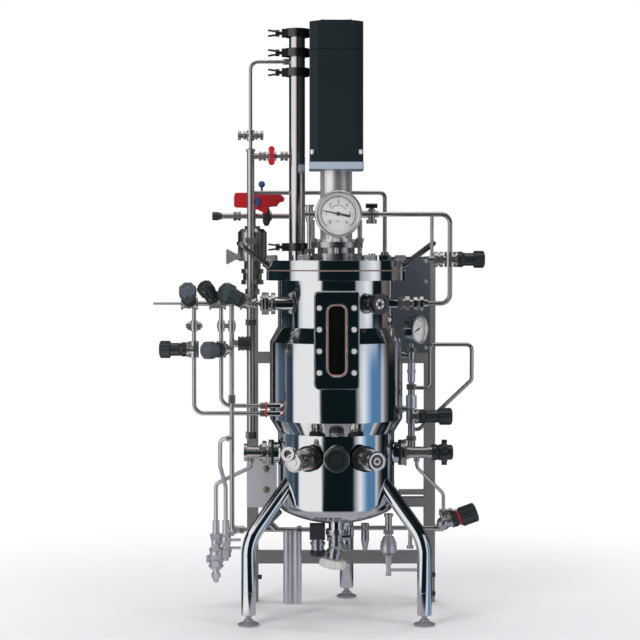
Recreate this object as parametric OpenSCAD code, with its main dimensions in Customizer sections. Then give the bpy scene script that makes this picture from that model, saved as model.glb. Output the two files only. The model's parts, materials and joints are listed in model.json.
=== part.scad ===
// Bench bioreactor: a jacketed, stirred steel vessel on three legs, with its drive, exhaust
// condenser, steam, gas and sampling pipework, and the service frame behind it.
// The origin is on the bench, under the vessel's axis. +Z is up and -Y is the front, where the
// sight glass is. All lengths are in millimetres.

/* [Vessel] */
// Outer radius of the vessel shell
vessel_r = 101; // [96:1:104]
// Wall of the vessel shell
shell_wall = 3; // [2:0.5:4]
// Height of the joint between the shell and its dished bottom
tangent_z = 202; // [196:1:210]
// Height of the top of the head plate
head_top_z = 618; // [606:1:630]
// Radius of the head plate and of the vessel flange
flange_r = 121; // [119:1:126]
// Thickness of the head plate and of the vessel flange
flange_h = 16; // [12:1:20]
// Thickness of the head gasket
gasket_h = 2; // [1:0.5:4]
// Radius of the circle of head bolts
head_bolt_circle_r = 111; // [110:0.5:111.5]
// Number of head bolts
head_bolt_count = 6; // [4:2:6]

/* [Jacket] */
// Outer radius of the jacket
jacket_r = 115; // [112:1:117]
// Height of the jacket's upper corner above the lower one
jacket_h = 133; // [125:1:136]
// Height of the jacket's lower corner above the dished bottom's joint
jacket_rise = 143; // [140:1:150]
// Wall of the jacket
jacket_wall = 2; // [1:0.5:3]

/* [Sight glass] */
// Width of the sight glass pad
sight_w = 76; // [70:1:80]
// Height of the sight glass pad
sight_h = 164; // [156:1:168]
// Width of the window
window_w = 28; // [22:1:32]
// Height of the window
window_h = 115; // [100:1:120]
// How far the front of the pad stands out from the jacket
pad_front = 4; // [3:1:7]
// Thickness of the cover that clamps the glass
cover_t = 8; // [6:1:10]
// Thickness of the glass
glass_t = 6; // [4:0.5:8]

/* [Legs] */
// Radius of the circle that the feet stand on
foot_circle_r = 172; // [166:1:178]
// Diameter of a leg's tube
leg_d = 25; // [22:0.5:28]
// Radius of the bend in a leg
leg_bend_r = 70; // [60:1:80]
// Radius of a foot's pad
foot_r = 18; // [15:1:22]

/* [Drive] */
// Side of the square motor
motor_w = 92; // [84:1:94]
// Length of the motor
motor_h = 240; // [200:1:260]
// Thickness of the motor flange
motor_flange_h = 12; // [8:1:16]
// Radius of the coupling lantern
lantern_r = 27.5; // [25:0.5:29]
// Length of the coupling lantern
lantern_h = 124; // [112:1:136]
// Height of the shaft seal housing
seal_h = 32; // [28:1:36]
// Radius of the stirrer shaft
shaft_r = 6; // [5:0.5:7]
// Radius over the stirrer blades
stirrer_r = 33; // [28:1:38]

/* [Head fittings] */
// Radius of the condenser column
column_r = 14; // [12:0.5:15]
// Height of the condenser column's top above the head plate
column_h = 396; // [390:1:410]
// Radius of the main gauge
gauge_r = 40; // [36:1:42]
// Radius of the side gauge
side_gauge_r = 25; // [22:0.5:25.5]
// Diameter of the main service pipes
pipe_d = 8; // [7:0.5:9]
// Diameter of the thin pipes
thin_d = 6; // [5:0.5:7]

/* [Service frame] */
// Distance from the jacket back to the middle of the frame
frame_y = 15; // [12:1:25]
// Width of a frame post
post_w = 20; // [16:1:22]
// Distance from the vessel's axis to the middle of the right post
post_right_x = 170; // [168:1:176]
// Distance from the vessel's axis to the middle of the left post
post_left_x = 150; // [147:1:153]

/* [Hand wheels] */
// Radius of a valve's hand wheel
wheel_r = 15; // [13:0.5:16]
// Radius of a valve stem
stem_r = 4; // [3:0.5:5]

/* [Hidden] */
$fn = 48;
// clearances: between parts that turn, and between parts that only fit
run_gap = 0.05;
fit_gap = 0.1;
lift_gap = 0.3;

flange_bottom_z = head_top_z - 2 * flange_h - gasket_h;
plate_bottom_z = head_top_z - flange_h;
lower_port_z = tangent_z + 83;
upper_port_z = head_top_z - 73;
jacket_low_z = tangent_z + jacket_rise;
jacket_top_z = jacket_low_z + jacket_h;
jacket_cone_low = 23;
jacket_cone_top = 26;

// ports: radius of the stub, its bore, and how far its face stands from the vessel's axis
port_r = 18;
port_bore = 12.5;
port_face = vessel_r + 11;
// directions are measured from the front, and are positive towards +X
cap_port = 0;
sample_port = -25;
probe_port = 25;
left_port = -90;
right_port = 90;
upper_cap_port = 35;
upper_port_r = 14;

// sight glass
pad_y = jacket_r + pad_front;
sight_z = jacket_top_z + 7;
pad_back = 90;
screw_x = 29;
screw_pitch = 36;
gasket_w = 2;

// legs
leg_angles = [210, 330, 83];
leg_bend = 40;
leg_bottom_z = 18;
leg_bend_z = 118;
foot_stud_r = 5;
leg_slope = (foot_circle_r - leg_bend_r * (1 - cos(leg_bend)) - vessel_r) / sin(leg_bend);

// drive
seal_top_z = head_top_z + seal_h;
lantern_top_z = seal_top_z + lantern_h;
motor_z = lantern_top_z + motor_flange_h;
motor_corner = 14;
motor_foot_h = 13;
motor_cap_w = 62;
motor_cap_h = 3;
handle_y = [-33, 42];
seal_stud_circle_r = 41;
seal_stud_r = 4;
lower_stirrer_z = tangent_z + 43;
stirrer_gap = 150;

// head fittings
column_p = [-68, 30, head_top_z];
nozzle_h = 24;
clamp_h = 14;
clamp_r = 21.6;
ferrule_r = 18;
clamp_heights = [nozzle_h, column_h - 68, column_h - 34, column_h];
riser_r = 6.5;
riser_p = [-149, 30, 0];
riser_low_z = lower_port_z + 21;
riser_top_z = head_top_z + 196;
thin_top_z = head_top_z + 346;
cooling_z = head_top_z + 182;
cooling_handle_x = -112;
head_steam_z = head_top_z + 119;
head_steam_y = 52;
head_steam_p = [86, 50, head_top_z];

// gauge manifold
manifold_y = -42;
manifold_z = head_top_z + 79;
manifold_r = 6;
drop_x = -46;
tap_x = 60;
riser_right_x = 194;
gauge_x = 3;
gauge_back = 50;
gauge_depth = 28;
dial_depth = 10;
needle_angle = 168;
side_gauge_p = [jacket_r + 23, 2, head_top_z - 120];
side_gauge_turn = 53;
side_gauge_depth = 20;

// left valve group: its line's plane, the socket it starts from, and its valves' places
left_y = -60;
left_z = upper_port_z;
socket_face = vessel_r + 3;
valve_x = [-250, -202, -150];
row_z = left_z - 78;
low_line_z = [left_z - 187, left_z - 174];
lance_tip_x = -311;
left_down_x = [-242, -196, -178];

// right valve group
chain_p = [jacket_r + 16, 7, 0];
chain_low_z = lower_port_z + 12;
chain_top_z = side_gauge_p[2] - side_gauge_r + 2 - run_gap;
middle_valve_z = lower_port_z + 62;
loop_y = 34;

// bottom group
bottom_y = 20;
bottom_z = tangent_z - 52;
outlet_low_z = tangent_z - 54;
trap_x = [-209, -192];

// service frame
frame_mid_y = jacket_r + frame_y;

// valves: how far the boss, the bonnet and the wheel stand from the valve's middle
boss_h = 12;
bonnet_h = 12;
bonnet_r = 12;

// ---- shared shapes ----

function unit(v) = v / norm(v);
function heading(a) = [sin(a), -cos(a), 0];
function turn(p, i) = acos(max(-1, min(1, unit(p[i] - p[i - 1]) * unit(p[i + 1] - p[i]))));
function trim(p, i, r) = i == 0 || i == len(p) - 1 ? 0 : r * tan(turn(p, i) / 2);

// points +Z of its children along d, from p
module aim(p, d) translate(p) rotate([0, acos(d[2] / norm(d)), atan2(d[1], d[0])]) children();

module rod(a, b, r) aim(a, b - a) cylinder(r = r, h = norm(b - a));

// cylinders stacked along +Z: each is [radius, height, sides, top radius], the last two optional
module stack(s, i = 0) {
    if (i < len(s)) {
        sides = len(s[i]) > 2 ? s[i][2] : $fn;
        cylinder(r1 = s[i][0], r2 = len(s[i]) > 3 ? s[i][3] : s[i][0], h = s[i][1], $fn = sides);
        translate([0, 0, s[i][1]]) stack(s, i + 1);
    }
}

// the quarter bend of a pipe at point i of its path
module elbow(p, i, r, d) {
    u = unit(p[i] - p[i - 1]);
    w = unit(p[i + 1] - p[i]);
    n = unit(w - (w * u) * u);
    c = p[i] - u * trim(p, i, r) + n * r;
    k = cross(-n, u);
    multmatrix([[-n[0], u[0], k[0], c[0]], [-n[1], u[1], k[1], c[1]], [-n[2], u[2], k[2], c[2]], [0, 0, 0, 1]])
        rotate_extrude(angle = turn(p, i)) translate([r, 0]) circle(d = d);
}

// a pipe with square bends, along the points p
module pipe(p, d, r) {
    for (i = [1 : len(p) - 1]) {
        u = unit(p[i] - p[i - 1]);
        rod(p[i - 1] + u * trim(p, i - 1, r), p[i] - u * trim(p, i, r), d / 2);
    }
    if (len(p) > 2) for (i = [1 : len(p) - 2]) elbow(p, i, r, d);
}

// a pipe with bends of any angle, swept as one faceted tube
function arc_points(a, b, c, r, n) = let (u = unit(b - a), w = unit(c - b), t = acos(u * w),
    m = unit(w - (w * u) * u), q = b - u * r * tan(t / 2) + m * r)
    [for (i = [0 : n]) q - m * r * cos(t * i / n) + u * r * sin(t * i / n)];
function route(p, r, n) = [p[0], for (i = [1 : len(p) - 2]) each arc_points(p[i - 1], p[i], p[i + 1], r, n),
    p[len(p) - 1]];
function tangent(q, i) = i == 0 ? unit(q[1] - q[0]) : i == len(q) - 1 ? unit(q[i] - q[i - 1])
    : unit(unit(q[i] - q[i - 1]) + unit(q[i + 1] - q[i]));
function first_side(t) = unit(cross(t, abs(t[2]) < 0.9 ? [0, 0, 1] : [1, 0, 0]));
function sides(q, i = 0, s = [0, 0, 0]) = i == len(q) ? [] : let (t = tangent(q, i),
    v = i == 0 ? first_side(t) : unit(s - (s * t) * t)) concat([v], sides(q, i + 1, v));
module sweep(p, d, r, k = 12, n = 3) {
    q = route(p, r, n);
    v = sides(q);
    points = [for (i = [0 : len(q) - 1]) let (b = cross(tangent(q, i), v[i])) for (j = [0 : k - 1])
        q[i] + d / 2 * (v[i] * cos(360 * j / k) + b * sin(360 * j / k))];
    walls = [for (i = [0 : len(q) - 2]) for (j = [0 : k - 1])
        [(i + 1) * k + j, (i + 1) * k + (j + 1) % k, i * k + (j + 1) % k, i * k + j]];
    polyhedron(points, concat([[for (j = [0 : k - 1]) j]], walls,
        [[for (j = [k - 1 : -1 : 0]) (len(q) - 1) * k + j]]));
}

// half section of a dished vessel of radius r, with its joint at z0 and its rim at z1
module dish(r, z0, z1) {
    crown = 2 * r;
    knuckle = 0.2 * r;
    zc = z0 + sqrt((crown - knuckle) * (crown - knuckle) - (r - knuckle) * (r - knuckle));
    t = (r - knuckle) * crown / (crown - knuckle);
    intersection() {
        translate([0, zc]) circle(crown, $fn = 180);
        translate([0, z0 - r]) square([t, r]);
    }
    intersection() {
        translate([r - knuckle, z0]) circle(knuckle);
        translate([0, z0 - r]) square([r, r]);
    }
    translate([0, z0]) square([r, z1 - z0]);
}

module slot_2d(w, h, corner) {
    square([w - 2 * corner, h], center = true);
    square([w, h - 2 * corner], center = true);
    for (x = [-1, 1], z = [-1, 1]) translate([x * (w / 2 - corner), z * (h / 2 - corner)]) circle(corner);
}

// an upright slab facing the front, from y0 back to y1, with rounded corners
module slab(w, h, corner, z, y0, y1)
    translate([0, y1, z]) rotate([90, 0, 0]) linear_extrude(y1 - y0) slot_2d(w, h, corner);

// a fluted wheel, from z = 0 to z = h
module fluted(r, h, flutes = 8) difference() {
    stack([[r - 1.5, 1.5, $fn, r], [r, h - 4], [r, 2.5, $fn, r - 2.5]]);
    for (a = [0 : 360 / flutes : 359])
        rotate(a) translate([r * 1.13, 0, -1]) cylinder(r = r * 0.26, h = h + 2);
}

// a valve's boss on its body, its bonnet with the stem's bore, and its hand wheel with the stem;
// each is drawn from the valve's middle, along +Z, and the bonnet stands at height z
module boss(z = boss_h) stack([[bonnet_r - 2, z - 3], [bonnet_r + 1, 3 - run_gap]]);
module bonnet(z = boss_h, r = bonnet_r) translate([0, 0, z]) difference() {
    stack([[r, bonnet_h - 4], [r, 4, $fn, r - 2]]);
    translate([0, 0, 1]) cylinder(r = stem_r + run_gap, h = bonnet_h);
}
module hand_wheel(neck, z = boss_h, r = wheel_r, h = 18) translate([0, 0, z + bonnet_h + lift_gap]) {
    translate([0, 0, -bonnet_h + 2]) cylinder(r = stem_r, h = bonnet_h);
    stack([[r - 4, neck]]);
    translate([0, 0, neck]) fluted(r, h);
}

// ---- vessel ----

module port_stubs() {
    for (a = [cap_port, sample_port, probe_port, left_port, right_port])
        aim([0, 0, lower_port_z], heading(a)) cylinder(r = port_r, h = port_face);
    aim([0, 0, upper_port_z], heading(upper_cap_port)) cylinder(r = upper_port_r, h = port_face);
    rod([0, manifold_y, upper_port_z], [socket_face, manifold_y, upper_port_z], 9);
    rod([0, left_y, left_z], [-socket_face, left_y, left_z], 11);
}

module vessel_shell() color("gainsboro") difference() {
    union() {
        rotate_extrude($fn = 120) dish(vessel_r, tangent_z, flange_bottom_z + flange_h);
        translate([0, 0, flange_bottom_z]) cylinder(r = flange_r, h = flange_h, $fn = 120);
        slab(sight_w, sight_h, 8, sight_z, -pad_y, -pad_back);
        port_stubs();
        translate([0, 0, outlet_low_z]) stack([[ferrule_r, 3], [13, 30]]);
    }
    rotate_extrude($fn = 120) dish(vessel_r - shell_wall, tangent_z, head_top_z);
    for (a = [cap_port, sample_port, probe_port, left_port, right_port])
        aim([0, 0, lower_port_z], heading(a)) cylinder(r = port_bore, h = port_face + 1);
    aim([0, 0, upper_port_z], heading(upper_cap_port)) cylinder(r = 8, h = port_face + 1);
    rod([0, manifold_y, upper_port_z], [socket_face + 1, manifold_y, upper_port_z], 3);
    rod([0, left_y, left_z], [-socket_face - 1, left_y, left_z], 3);
    translate([0, 0, outlet_low_z - 1]) cylinder(r = 8, h = 60);
    slab(window_w, window_h, 10, sight_z, -pad_y - 1, 0);
    slab(window_w + 14, window_h + 14, 14, sight_z, -pad_y - 1, -pad_y + glass_t);
    sight_screws() cylinder(r = 2.6, h = 12);
    head_bolt_places() translate([0, 0, flange_bottom_z + 2]) cylinder(r = 6, h = flange_h);
}

module jacket_shell() color("lightgrey") difference() {
    union() {
        rotate_extrude($fn = 120) polygon([
            [vessel_r, jacket_top_z + jacket_cone_top], [jacket_r, jacket_top_z], [jacket_r, jacket_low_z],
            [vessel_r, jacket_low_z - jacket_cone_low], [vessel_r, jacket_low_z - jacket_cone_low + 4],
            [jacket_r - jacket_wall, jacket_low_z + 2], [jacket_r - jacket_wall, jacket_top_z - 2],
            [vessel_r, jacket_top_z + jacket_cone_top - 4]]);
        difference() {
            for (z = low_line_z) rod([-jacket_r - 3, left_y, z], [0, left_y, z], 5);
            cylinder(r = jacket_r - jacket_wall / 2, h = head_top_z);
        }
        for (z = chain_branches) difference() {
            rod([0, chain_p[1], z], [jacket_r + 2, chain_p[1], z], 7);
            cylinder(r = jacket_r - jacket_wall / 2, h = head_top_z);
        }
    }
    slab(sight_w + 2 * fit_gap, sight_h + 2 * fit_gap, 8, sight_z, -pad_y, 0);
}

module head_bolt_places() for (i = [0 : head_bolt_count - 1])
    rotate(i * 360 / head_bolt_count) translate([head_bolt_circle_r, 0, 0]) children();

module head_plate() color("gainsboro") difference() {
    union() {
        translate([0, 0, plate_bottom_z]) cylinder(r = flange_r, h = flange_h, $fn = 120);
        translate(column_p) stack([[column_r + 1, nozzle_h - 3.5], [ferrule_r, 3]]);
        translate([drop_x, manifold_y, head_top_z]) stack([[9, 8, 6], [6, 4]]);
        translate(head_steam_p) stack([[10.5, 10, 6], [7, 5]]);
        for (p = [[60, -62], [-20, 88], [30, 92]]) translate([p[0], p[1], head_top_z]) stack([[9.5, 9, 6], [6, 3]]);
    }
    translate([0, 0, plate_bottom_z - 1]) cylinder(r = shaft_r + 6, h = flange_h + 2);
    translate([column_p[0], column_p[1], plate_bottom_z - 1]) cylinder(r = column_r - 2, h = flange_h + nozzle_h + 2);
    head_bolt_places() translate([0, 0, plate_bottom_z - 1]) cylinder(r = 6.6, h = flange_h + 2);
}

module head_gasket() color("mistyrose") translate([0, 0, plate_bottom_z - gasket_h]) difference() {
    cylinder(r = flange_r - 0.5, h = gasket_h, $fn = 120);
    translate([0, 0, -1]) cylinder(r = vessel_r - shell_wall, h = gasket_h + 2, $fn = 120);
    translate([0, 0, -1]) head_bolt_places() cylinder(r = 6.6, h = gasket_h + 2);
}

module head_bolts() color("silver") {
    head_bolt_places() {
        translate([0, 0, head_top_z]) stack([[10.5, 1.5], [9.6, 7, 6], [8.3, 1]]);
        translate([0, 0, flange_bottom_z + 3]) cylinder(r = 5.9, h = head_top_z - flange_bottom_z - 3);
    }
    for (a = [0 : 90 : 270]) rotate(a) translate([seal_stud_circle_r, 0, head_top_z + 12])
        difference() {
            cylinder(r = seal_stud_r, h = 58);
            translate([0, 0, 70]) cylinder(r = 1, h = 1);
        }
    for (a = [0 : 90 : 270]) rotate(a) translate([seal_stud_circle_r, 0, seal_top_z]) difference() {
        cylinder(r = 7, h = 7, $fn = 6);
        translate([0, 0, -1]) cylinder(r = seal_stud_r + 0.02, h = 9);
    }
}

// a U of rod on each side, which slopes up and out from the edge of the head plate
module lifting_handles() color("dimgrey") for (side = [0, 1]) mirror([side, 0, 0]) difference() {
    translate([flange_r - 3, 0, plate_bottom_z + 8]) rotate([0, -37, 0]) {
        pipe([[-9, handle_y[0], 0], [62, handle_y[0], 0], [62, handle_y[1], 0], [-9, handle_y[1], 0]], 8, 12);
        for (y = handle_y) rod([-11, y, 0], [7, y, 0], 6);
    }
    cylinder(r = flange_r + fit_gap, h = head_top_z + 100, $fn = 120);
}

module sight_screws() for (x = [-screw_x, screw_x], i = [-1.5 : 1 : 1.5])
    translate([x, -pad_y, sight_z + i * screw_pitch]) rotate([-90, 0, 0]) children();

module sight_glass_cover() color("darkslategray") difference() {
    slab(sight_w, sight_h, 8, sight_z, -pad_y - cover_t, -pad_y);
    slab(window_w + 2 * gasket_w, window_h + 2 * gasket_w, 12, sight_z, -pad_y - cover_t - 1, -pad_y + 1);
    sight_screws() translate([0, 0, -cover_t - 1]) cylinder(r = 3, h = cover_t + 2);
}
module sight_glass_pane() color("black")
    slab(window_w + 14 - 2 * fit_gap, window_h + 14 - 2 * fit_gap, 14, sight_z, -pad_y, -pad_y + glass_t);
module sight_glass_gasket() color("rosybrown") difference() {
    slab(window_w + 2 * gasket_w - 2 * fit_gap, window_h + 2 * gasket_w - 2 * fit_gap, 12, sight_z,
        -pad_y - cover_t + 1, -pad_y);
    slab(window_w, window_h, 10, sight_z, -pad_y - cover_t, -pad_y + 1);
}

module cap_screws() color("silver") {
    sight_screws() {
        translate([0, 0, -cover_t - 4]) cylinder(r = 4.2, h = 4);
        translate([0, 0, -cover_t - 1]) cylinder(r = 2.4, h = cover_t + 11);
    }
    for (x = [-1, 1], y = [-1, 1]) translate([x, y, 0] * (motor_w / 2 - 4.7)) translate([0, 0, motor_z + motor_foot_h])
        cylinder(r = 3.1, h = 8);
}

// ---- legs ----

module leg_tube() translate([foot_circle_r, 0, leg_bottom_z]) {
    straight = leg_bend_z - leg_bottom_z;
    difference() {
        cylinder(d = leg_d, h = straight);
        translate([0, 0, -1]) cylinder(r = foot_stud_r + fit_gap, h = 27);
        translate([0, 0, 38]) difference() {
            cylinder(d = leg_d + 2, h = 1);
            translate([0, 0, -1]) cylinder(d = leg_d - 1, h = 3);
        }
    }
    translate([0, 0, straight]) rotate(180) {
        translate([leg_bend_r, 0, 0]) rotate(180) rotate([90, 0, 0])
            rotate_extrude(angle = leg_bend) translate([leg_bend_r, 0]) circle(d = leg_d);
        translate([leg_bend_r, 0, 0]) rotate([0, leg_bend, 0]) translate([-leg_bend_r, 0, 0])
            cylinder(d = leg_d, h = leg_slope + 20);
    }
}
module legs() color("lightgrey") for (a = leg_angles) difference() {
    rotate(a) leg_tube();
    cylinder(r = vessel_r, h = flange_bottom_z, $fn = 120);
}
module levelling_feet() color("dimgrey") for (a = leg_angles) rotate(a) translate([foot_circle_r, 0, 0])
    stack([[foot_r, 3], [foot_r, 4, $fn, 9], [8, 3], [foot_stud_r, 33]]);

// ---- drive ----

module chamfered(w, c, h) linear_extrude(h) intersection() {
    square(w, center = true);
    rotate(45) square((w - c) * sqrt(2), center = true);
}
module motor_housing() color("darkslategray") translate([0, 0, motor_z]) difference() {
    union() {
        chamfered(motor_w, 4, motor_foot_h);
        chamfered(motor_w, motor_corner, motor_h);
        translate([0, 0, motor_h]) chamfered(motor_cap_w, 8, motor_cap_h);
    }
    translate([0, 0, motor_h - 49]) difference() {
        chamfered(motor_w + 2, 2, 1.2);
        translate([0, 0, -1]) chamfered(motor_w - 2, motor_corner, 4);
    }
}
module motor_flange() color("lightsteelblue") translate([0, 0, lantern_top_z])
    chamfered(motor_w + 2, 4, motor_flange_h);
module coupling_lantern() color("lightgrey") translate([0, 0, seal_top_z]) difference() {
    stack([[34, 5], [lantern_r, lantern_h - 5]]);
    translate([0, 0, -1]) cylinder(r = lantern_r - 5, h = lantern_h + 2);
}
module seal_housing() color("grey") translate([0, 0, head_top_z]) difference() {
    stack([[45, 12], [32, seal_h - 22], [46, 10]]);
    translate([0, 0, -1]) cylinder(r = shaft_r + run_gap, h = seal_h + 2);
    for (a = [0 : 90 : 270]) rotate(a) translate([seal_stud_circle_r, 0, 12])
        cylinder(r = seal_stud_r + fit_gap, h = seal_h);
}
module stirrer_shaft() color("silver") {
    translate([0, 0, lower_stirrer_z - 14]) cylinder(r = shaft_r, h = lantern_top_z - lower_stirrer_z + 10);
    translate([0, 0, seal_top_z + 20]) cylinder(r = lantern_r - 9, h = lantern_h - 40);
}
module stirrer_blades() color("silver") for (z = [lower_stirrer_z, lower_stirrer_z + stirrer_gap])
    translate([0, 0, z]) difference() {
        union() {
            translate([0, 0, -7]) cylinder(r = shaft_r + 4, h = 14);
            translate([0, 0, -1]) cylinder(r = stirrer_r - 9, h = 2);
            for (a = [0 : 60 : 300]) rotate(a) translate([stirrer_r - 14, -1, -7]) cube([14, 2, 14]);
        }
        translate([0, 0, -8]) cylinder(r = shaft_r + 0.02, h = 16);
    }
module baffles() color("silver") {
    inner_r = vessel_r - shell_wall - 1;
    for (a = [45 : 90 : 315]) rotate(a) translate([inner_r - 19, -1, tangent_z + 24])
        cube([18, 2, plate_bottom_z - tangent_z - 24]);
    translate([0, 0, tangent_z + 24]) difference() {
        cylinder(r = inner_r, h = 6, $fn = 120);
        translate([0, 0, -1]) cylinder(r = inner_r - 3, h = 8, $fn = 120);
    }
}
module sparger_tube() color("silver") {
    z = lower_stirrer_z - 25;
    pipe([[0, 55, plate_bottom_z], [0, 55, z], [0, 20, z]], 6, 14);
    translate([0, 0, z]) rotate_extrude() translate([20, 0]) circle(r = 3);
}

// ---- head fittings ----

module condenser_column() color("lightgrey") translate(column_p) difference() {
    union() {
        translate([0, 0, nozzle_h]) cylinder(r = column_r, h = column_h - nozzle_h);
        for (z = clamp_heights) translate([0, 0, z - 0.5 + (z == nozzle_h ? 0.5 : -3)])
            cylinder(r = ferrule_r, h = z == nozzle_h ? 3 : 6);
        for (z = clamp_heights) if (z < column_h && z > nozzle_h)
            translate([0, 0, z + 2.5]) cylinder(r = ferrule_r - 3, h = 4);
    }
    translate([0, 0, nozzle_h - 1]) cylinder(r = column_r - 2, h = column_h - nozzle_h - 3);
}
module tri_clamps() color("dimgrey") for (z = clamp_heights) translate(column_p) translate([0, 0, z - 0.5]) {
    difference() {
        union() {
            translate([0, 0, -clamp_h / 2]) cylinder(r = clamp_r, h = clamp_h);
            translate([-5, clamp_r - 4, -5]) cube([10, 9, 10]);
            translate([-clamp_r - 5, -6, -clamp_h / 2]) cube([10, 12, clamp_h]);
        }
        translate([0, 0, -4.1]) cylinder(r = ferrule_r + 0.3, h = 8.2);
        translate([0, 0, -clamp_h]) cylinder(r = ferrule_r - 2.5, h = 2 * clamp_h);
    }
    translate([-clamp_r - 4, 0, 0]) rotate([0, -90, 0]) stack([[3, 5], [6, 7]]);
    for (t = [-1, 1]) translate([-clamp_r - 14, 0, t * 3]) rotate([0, t * 8, 0]) translate([-15, -2, -1.5]) cube([17, 4, 3]);
}

module riser_pipe() color("lightgrey") {
    translate([riser_p[0], riser_p[1], riser_low_z]) stack([[9.5, 12, 6], [riser_r, riser_top_z - riser_low_z - 18],
        [riser_r + 1.5, 4], [riser_r, 2, $fn, 3]]);
    pipe([[riser_p[0], riser_p[1], riser_top_z - 1], [riser_p[0], riser_p[1], thin_top_z],
        [column_p[0] - column_r - 6, riser_p[1], thin_top_z]], thin_d, 14);
    rod([column_p[0] - column_r - 10, riser_p[1], thin_top_z], [column_p[0] - column_r, riser_p[1], thin_top_z], 5);
    // safety vents on a cross at the riser's top
    aim([riser_p[0] - 22, riser_p[1], riser_top_z + 22], [1, 0, 0])
        stack([[8, 5], [5, 5], [7.5, 3], [6, 18], [7.5, 3], [5, 5], [8, 5]]);
    translate([riser_p[0], riser_p[1], riser_top_z + 13]) cylinder(r = 6.5, h = 18);
    rod([riser_p[0], riser_p[1], cooling_z], [riser_p[0] + 13, riser_p[1], cooling_z], 5);
    rod([riser_p[0], riser_p[1], head_steam_z], [riser_p[0], riser_p[1] + 12, head_steam_z], 5);
    for (z = [upper_port_z - 40, head_top_z + 30]) translate([riser_p[0], riser_p[1], z]) stack([[9.5, 10, 6]]);
}

module cooling_pipe() color("silver") difference() {
    translate([0, riser_p[1], cooling_z]) {
        x0 = riser_p[0] + 13;
        rod([x0, 0, 0], [column_p[0] - column_r, 0, 0], 3.5);
        for (x = [x0 + 1, column_p[0] - column_r - 15]) aim([x, 0, 0], [1, 0, 0]) stack([[8, 5, 6], [6, 3], [8, 5, 6]]);
        aim([cooling_handle_x - 8, 0, 0], [1, 0, 0]) cylinder(r = 8, h = 16);
        aim([cooling_handle_x, 0, 0], [0, -1, 0]) cylinder(r = 6, h = 13);
    }
    translate([0, riser_p[1], cooling_z]) aim([cooling_handle_x, -5, 0], [0, -1, 0]) cylinder(r = 2.5 + run_gap, h = 10);
}
module cooling_handle() color("firebrick") translate([cooling_handle_x, riser_p[1], cooling_z]) {
    aim([0, -7, 0], [0, -1, 0]) cylinder(r = 2.5, h = 8);
    translate([0, -13 - lift_gap, 0]) rotate([90, 0, 0]) linear_extrude(5) {
        square([7, 22], center = true);
        for (s = [-1, 1]) translate([0, s * 11]) circle(5.5);
    }
}

module head_steam_pipe() color("silver") {
    x1 = head_steam_p[0];
    pipe([[riser_p[0], riser_p[1] + 12, head_steam_z], [riser_p[0], head_steam_y, head_steam_z],
        [x1, head_steam_y, head_steam_z], [x1, head_steam_y, head_top_z + 15]], thin_d + 1, 9);
}

// ---- gas filter behind the left post's top ----

filter_p = [-post_left_x, frame_mid_y, 0];
filter_low_z = upper_port_z + 4;
filter_top_z = head_top_z + 62;
filter_r = 26;
filter_line_z = filter_top_z + 18;
lever_z = filter_top_z + 44;
module filter_housing() color("lightgrey") difference() {
    union() {
        translate([filter_p[0], filter_p[1], filter_low_z]) stack([[9, 8], [13, 10, 6], [10, 8], [20, 8],
            [17, 12], [20, 8], [15, 14], [filter_r - 2, 8, $fn, filter_r], [filter_r, 44],
            [filter_r, 6, $fn, filter_r - 6], [14, 5]]);
        translate([filter_p[0], filter_p[1], filter_top_z]) cylinder(r = 6, h = 50);
        rod([-205, filter_p[1], filter_line_z], [column_p[0] - 30, filter_p[1], filter_line_z], 4.5);
        pipe([[column_p[0] - 32, filter_p[1], filter_line_z], [column_p[0], filter_p[1], filter_line_z],
            [column_p[0], column_p[1] + column_r, filter_line_z]], 9, 14);
        for (x = [-184, -128]) aim([x, filter_p[1], filter_line_z], [1, 0, 0]) stack([[8, 6, 6], [6, 2], [8, 5, 6]]);
        translate([filter_p[0], filter_p[1], lever_z]) sphere(r = 13);
        aim([filter_p[0], filter_p[1], lever_z], [0, -1, 0]) cylinder(r = 8, h = 24);
        aim([filter_p[0], filter_p[1], head_top_z + 7], [-1, 0, 0]) cylinder(r = 6, h = filter_r + 3);
    }
    aim([filter_p[0], filter_p[1] - 14, lever_z], [0, -1, 0]) cylinder(r = 3 + run_gap, h = 12);
    aim([filter_p[0] - filter_r + 6, filter_p[1], head_top_z + 7], [-1, 0, 0]) cylinder(r = 3 + run_gap, h = 12);
}
module filter_lever() color("firebrick") translate([filter_p[0], frame_mid_y - 24 - lift_gap, lever_z]) {
    rotate([90, 0, 0]) linear_extrude(8) {
        circle(13);
        polygon([[0, 12], [50, 11], [59, 3], [56, -4], [30, -9], [0, -13]]);
        polygon([[0, 11], [-28, 11], [-31, 8], [-31, -9], [-28, -11], [0, -11]]);
    }
    aim([0, 9, 0], [0, -1, 0]) cylinder(r = 3, h = 10);
}
module filter_lever_caps() color("steelblue") translate([filter_p[0], frame_mid_y - 32 - lift_gap, lever_z]) {
    aim([0, 0, 0], [0, -1, 0]) stack([[6, 3], [6, 2, $fn, 4]]);
    translate([18, 4, 12]) {
        cylinder(r = 2, h = 14);
        translate([0, 0, 18]) sphere(r = 6);
    }
}
module filter_tap_handle() color("grey") {
    z = head_top_z + 7;
    x = filter_p[0] - filter_r - 3 - lift_gap;
    aim([x + 8, filter_p[1], z], [-1, 0, 0]) cylinder(r = 3, h = 10);
    translate([x, filter_p[1] + 2.5, z]) rotate([90, 0, 0]) linear_extrude(5)
        polygon([[0, -5], [-16, -14], [-18, -12], [-18, 12], [-16, 14], [0, 5]]);
}

// ---- gauges ----

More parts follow.
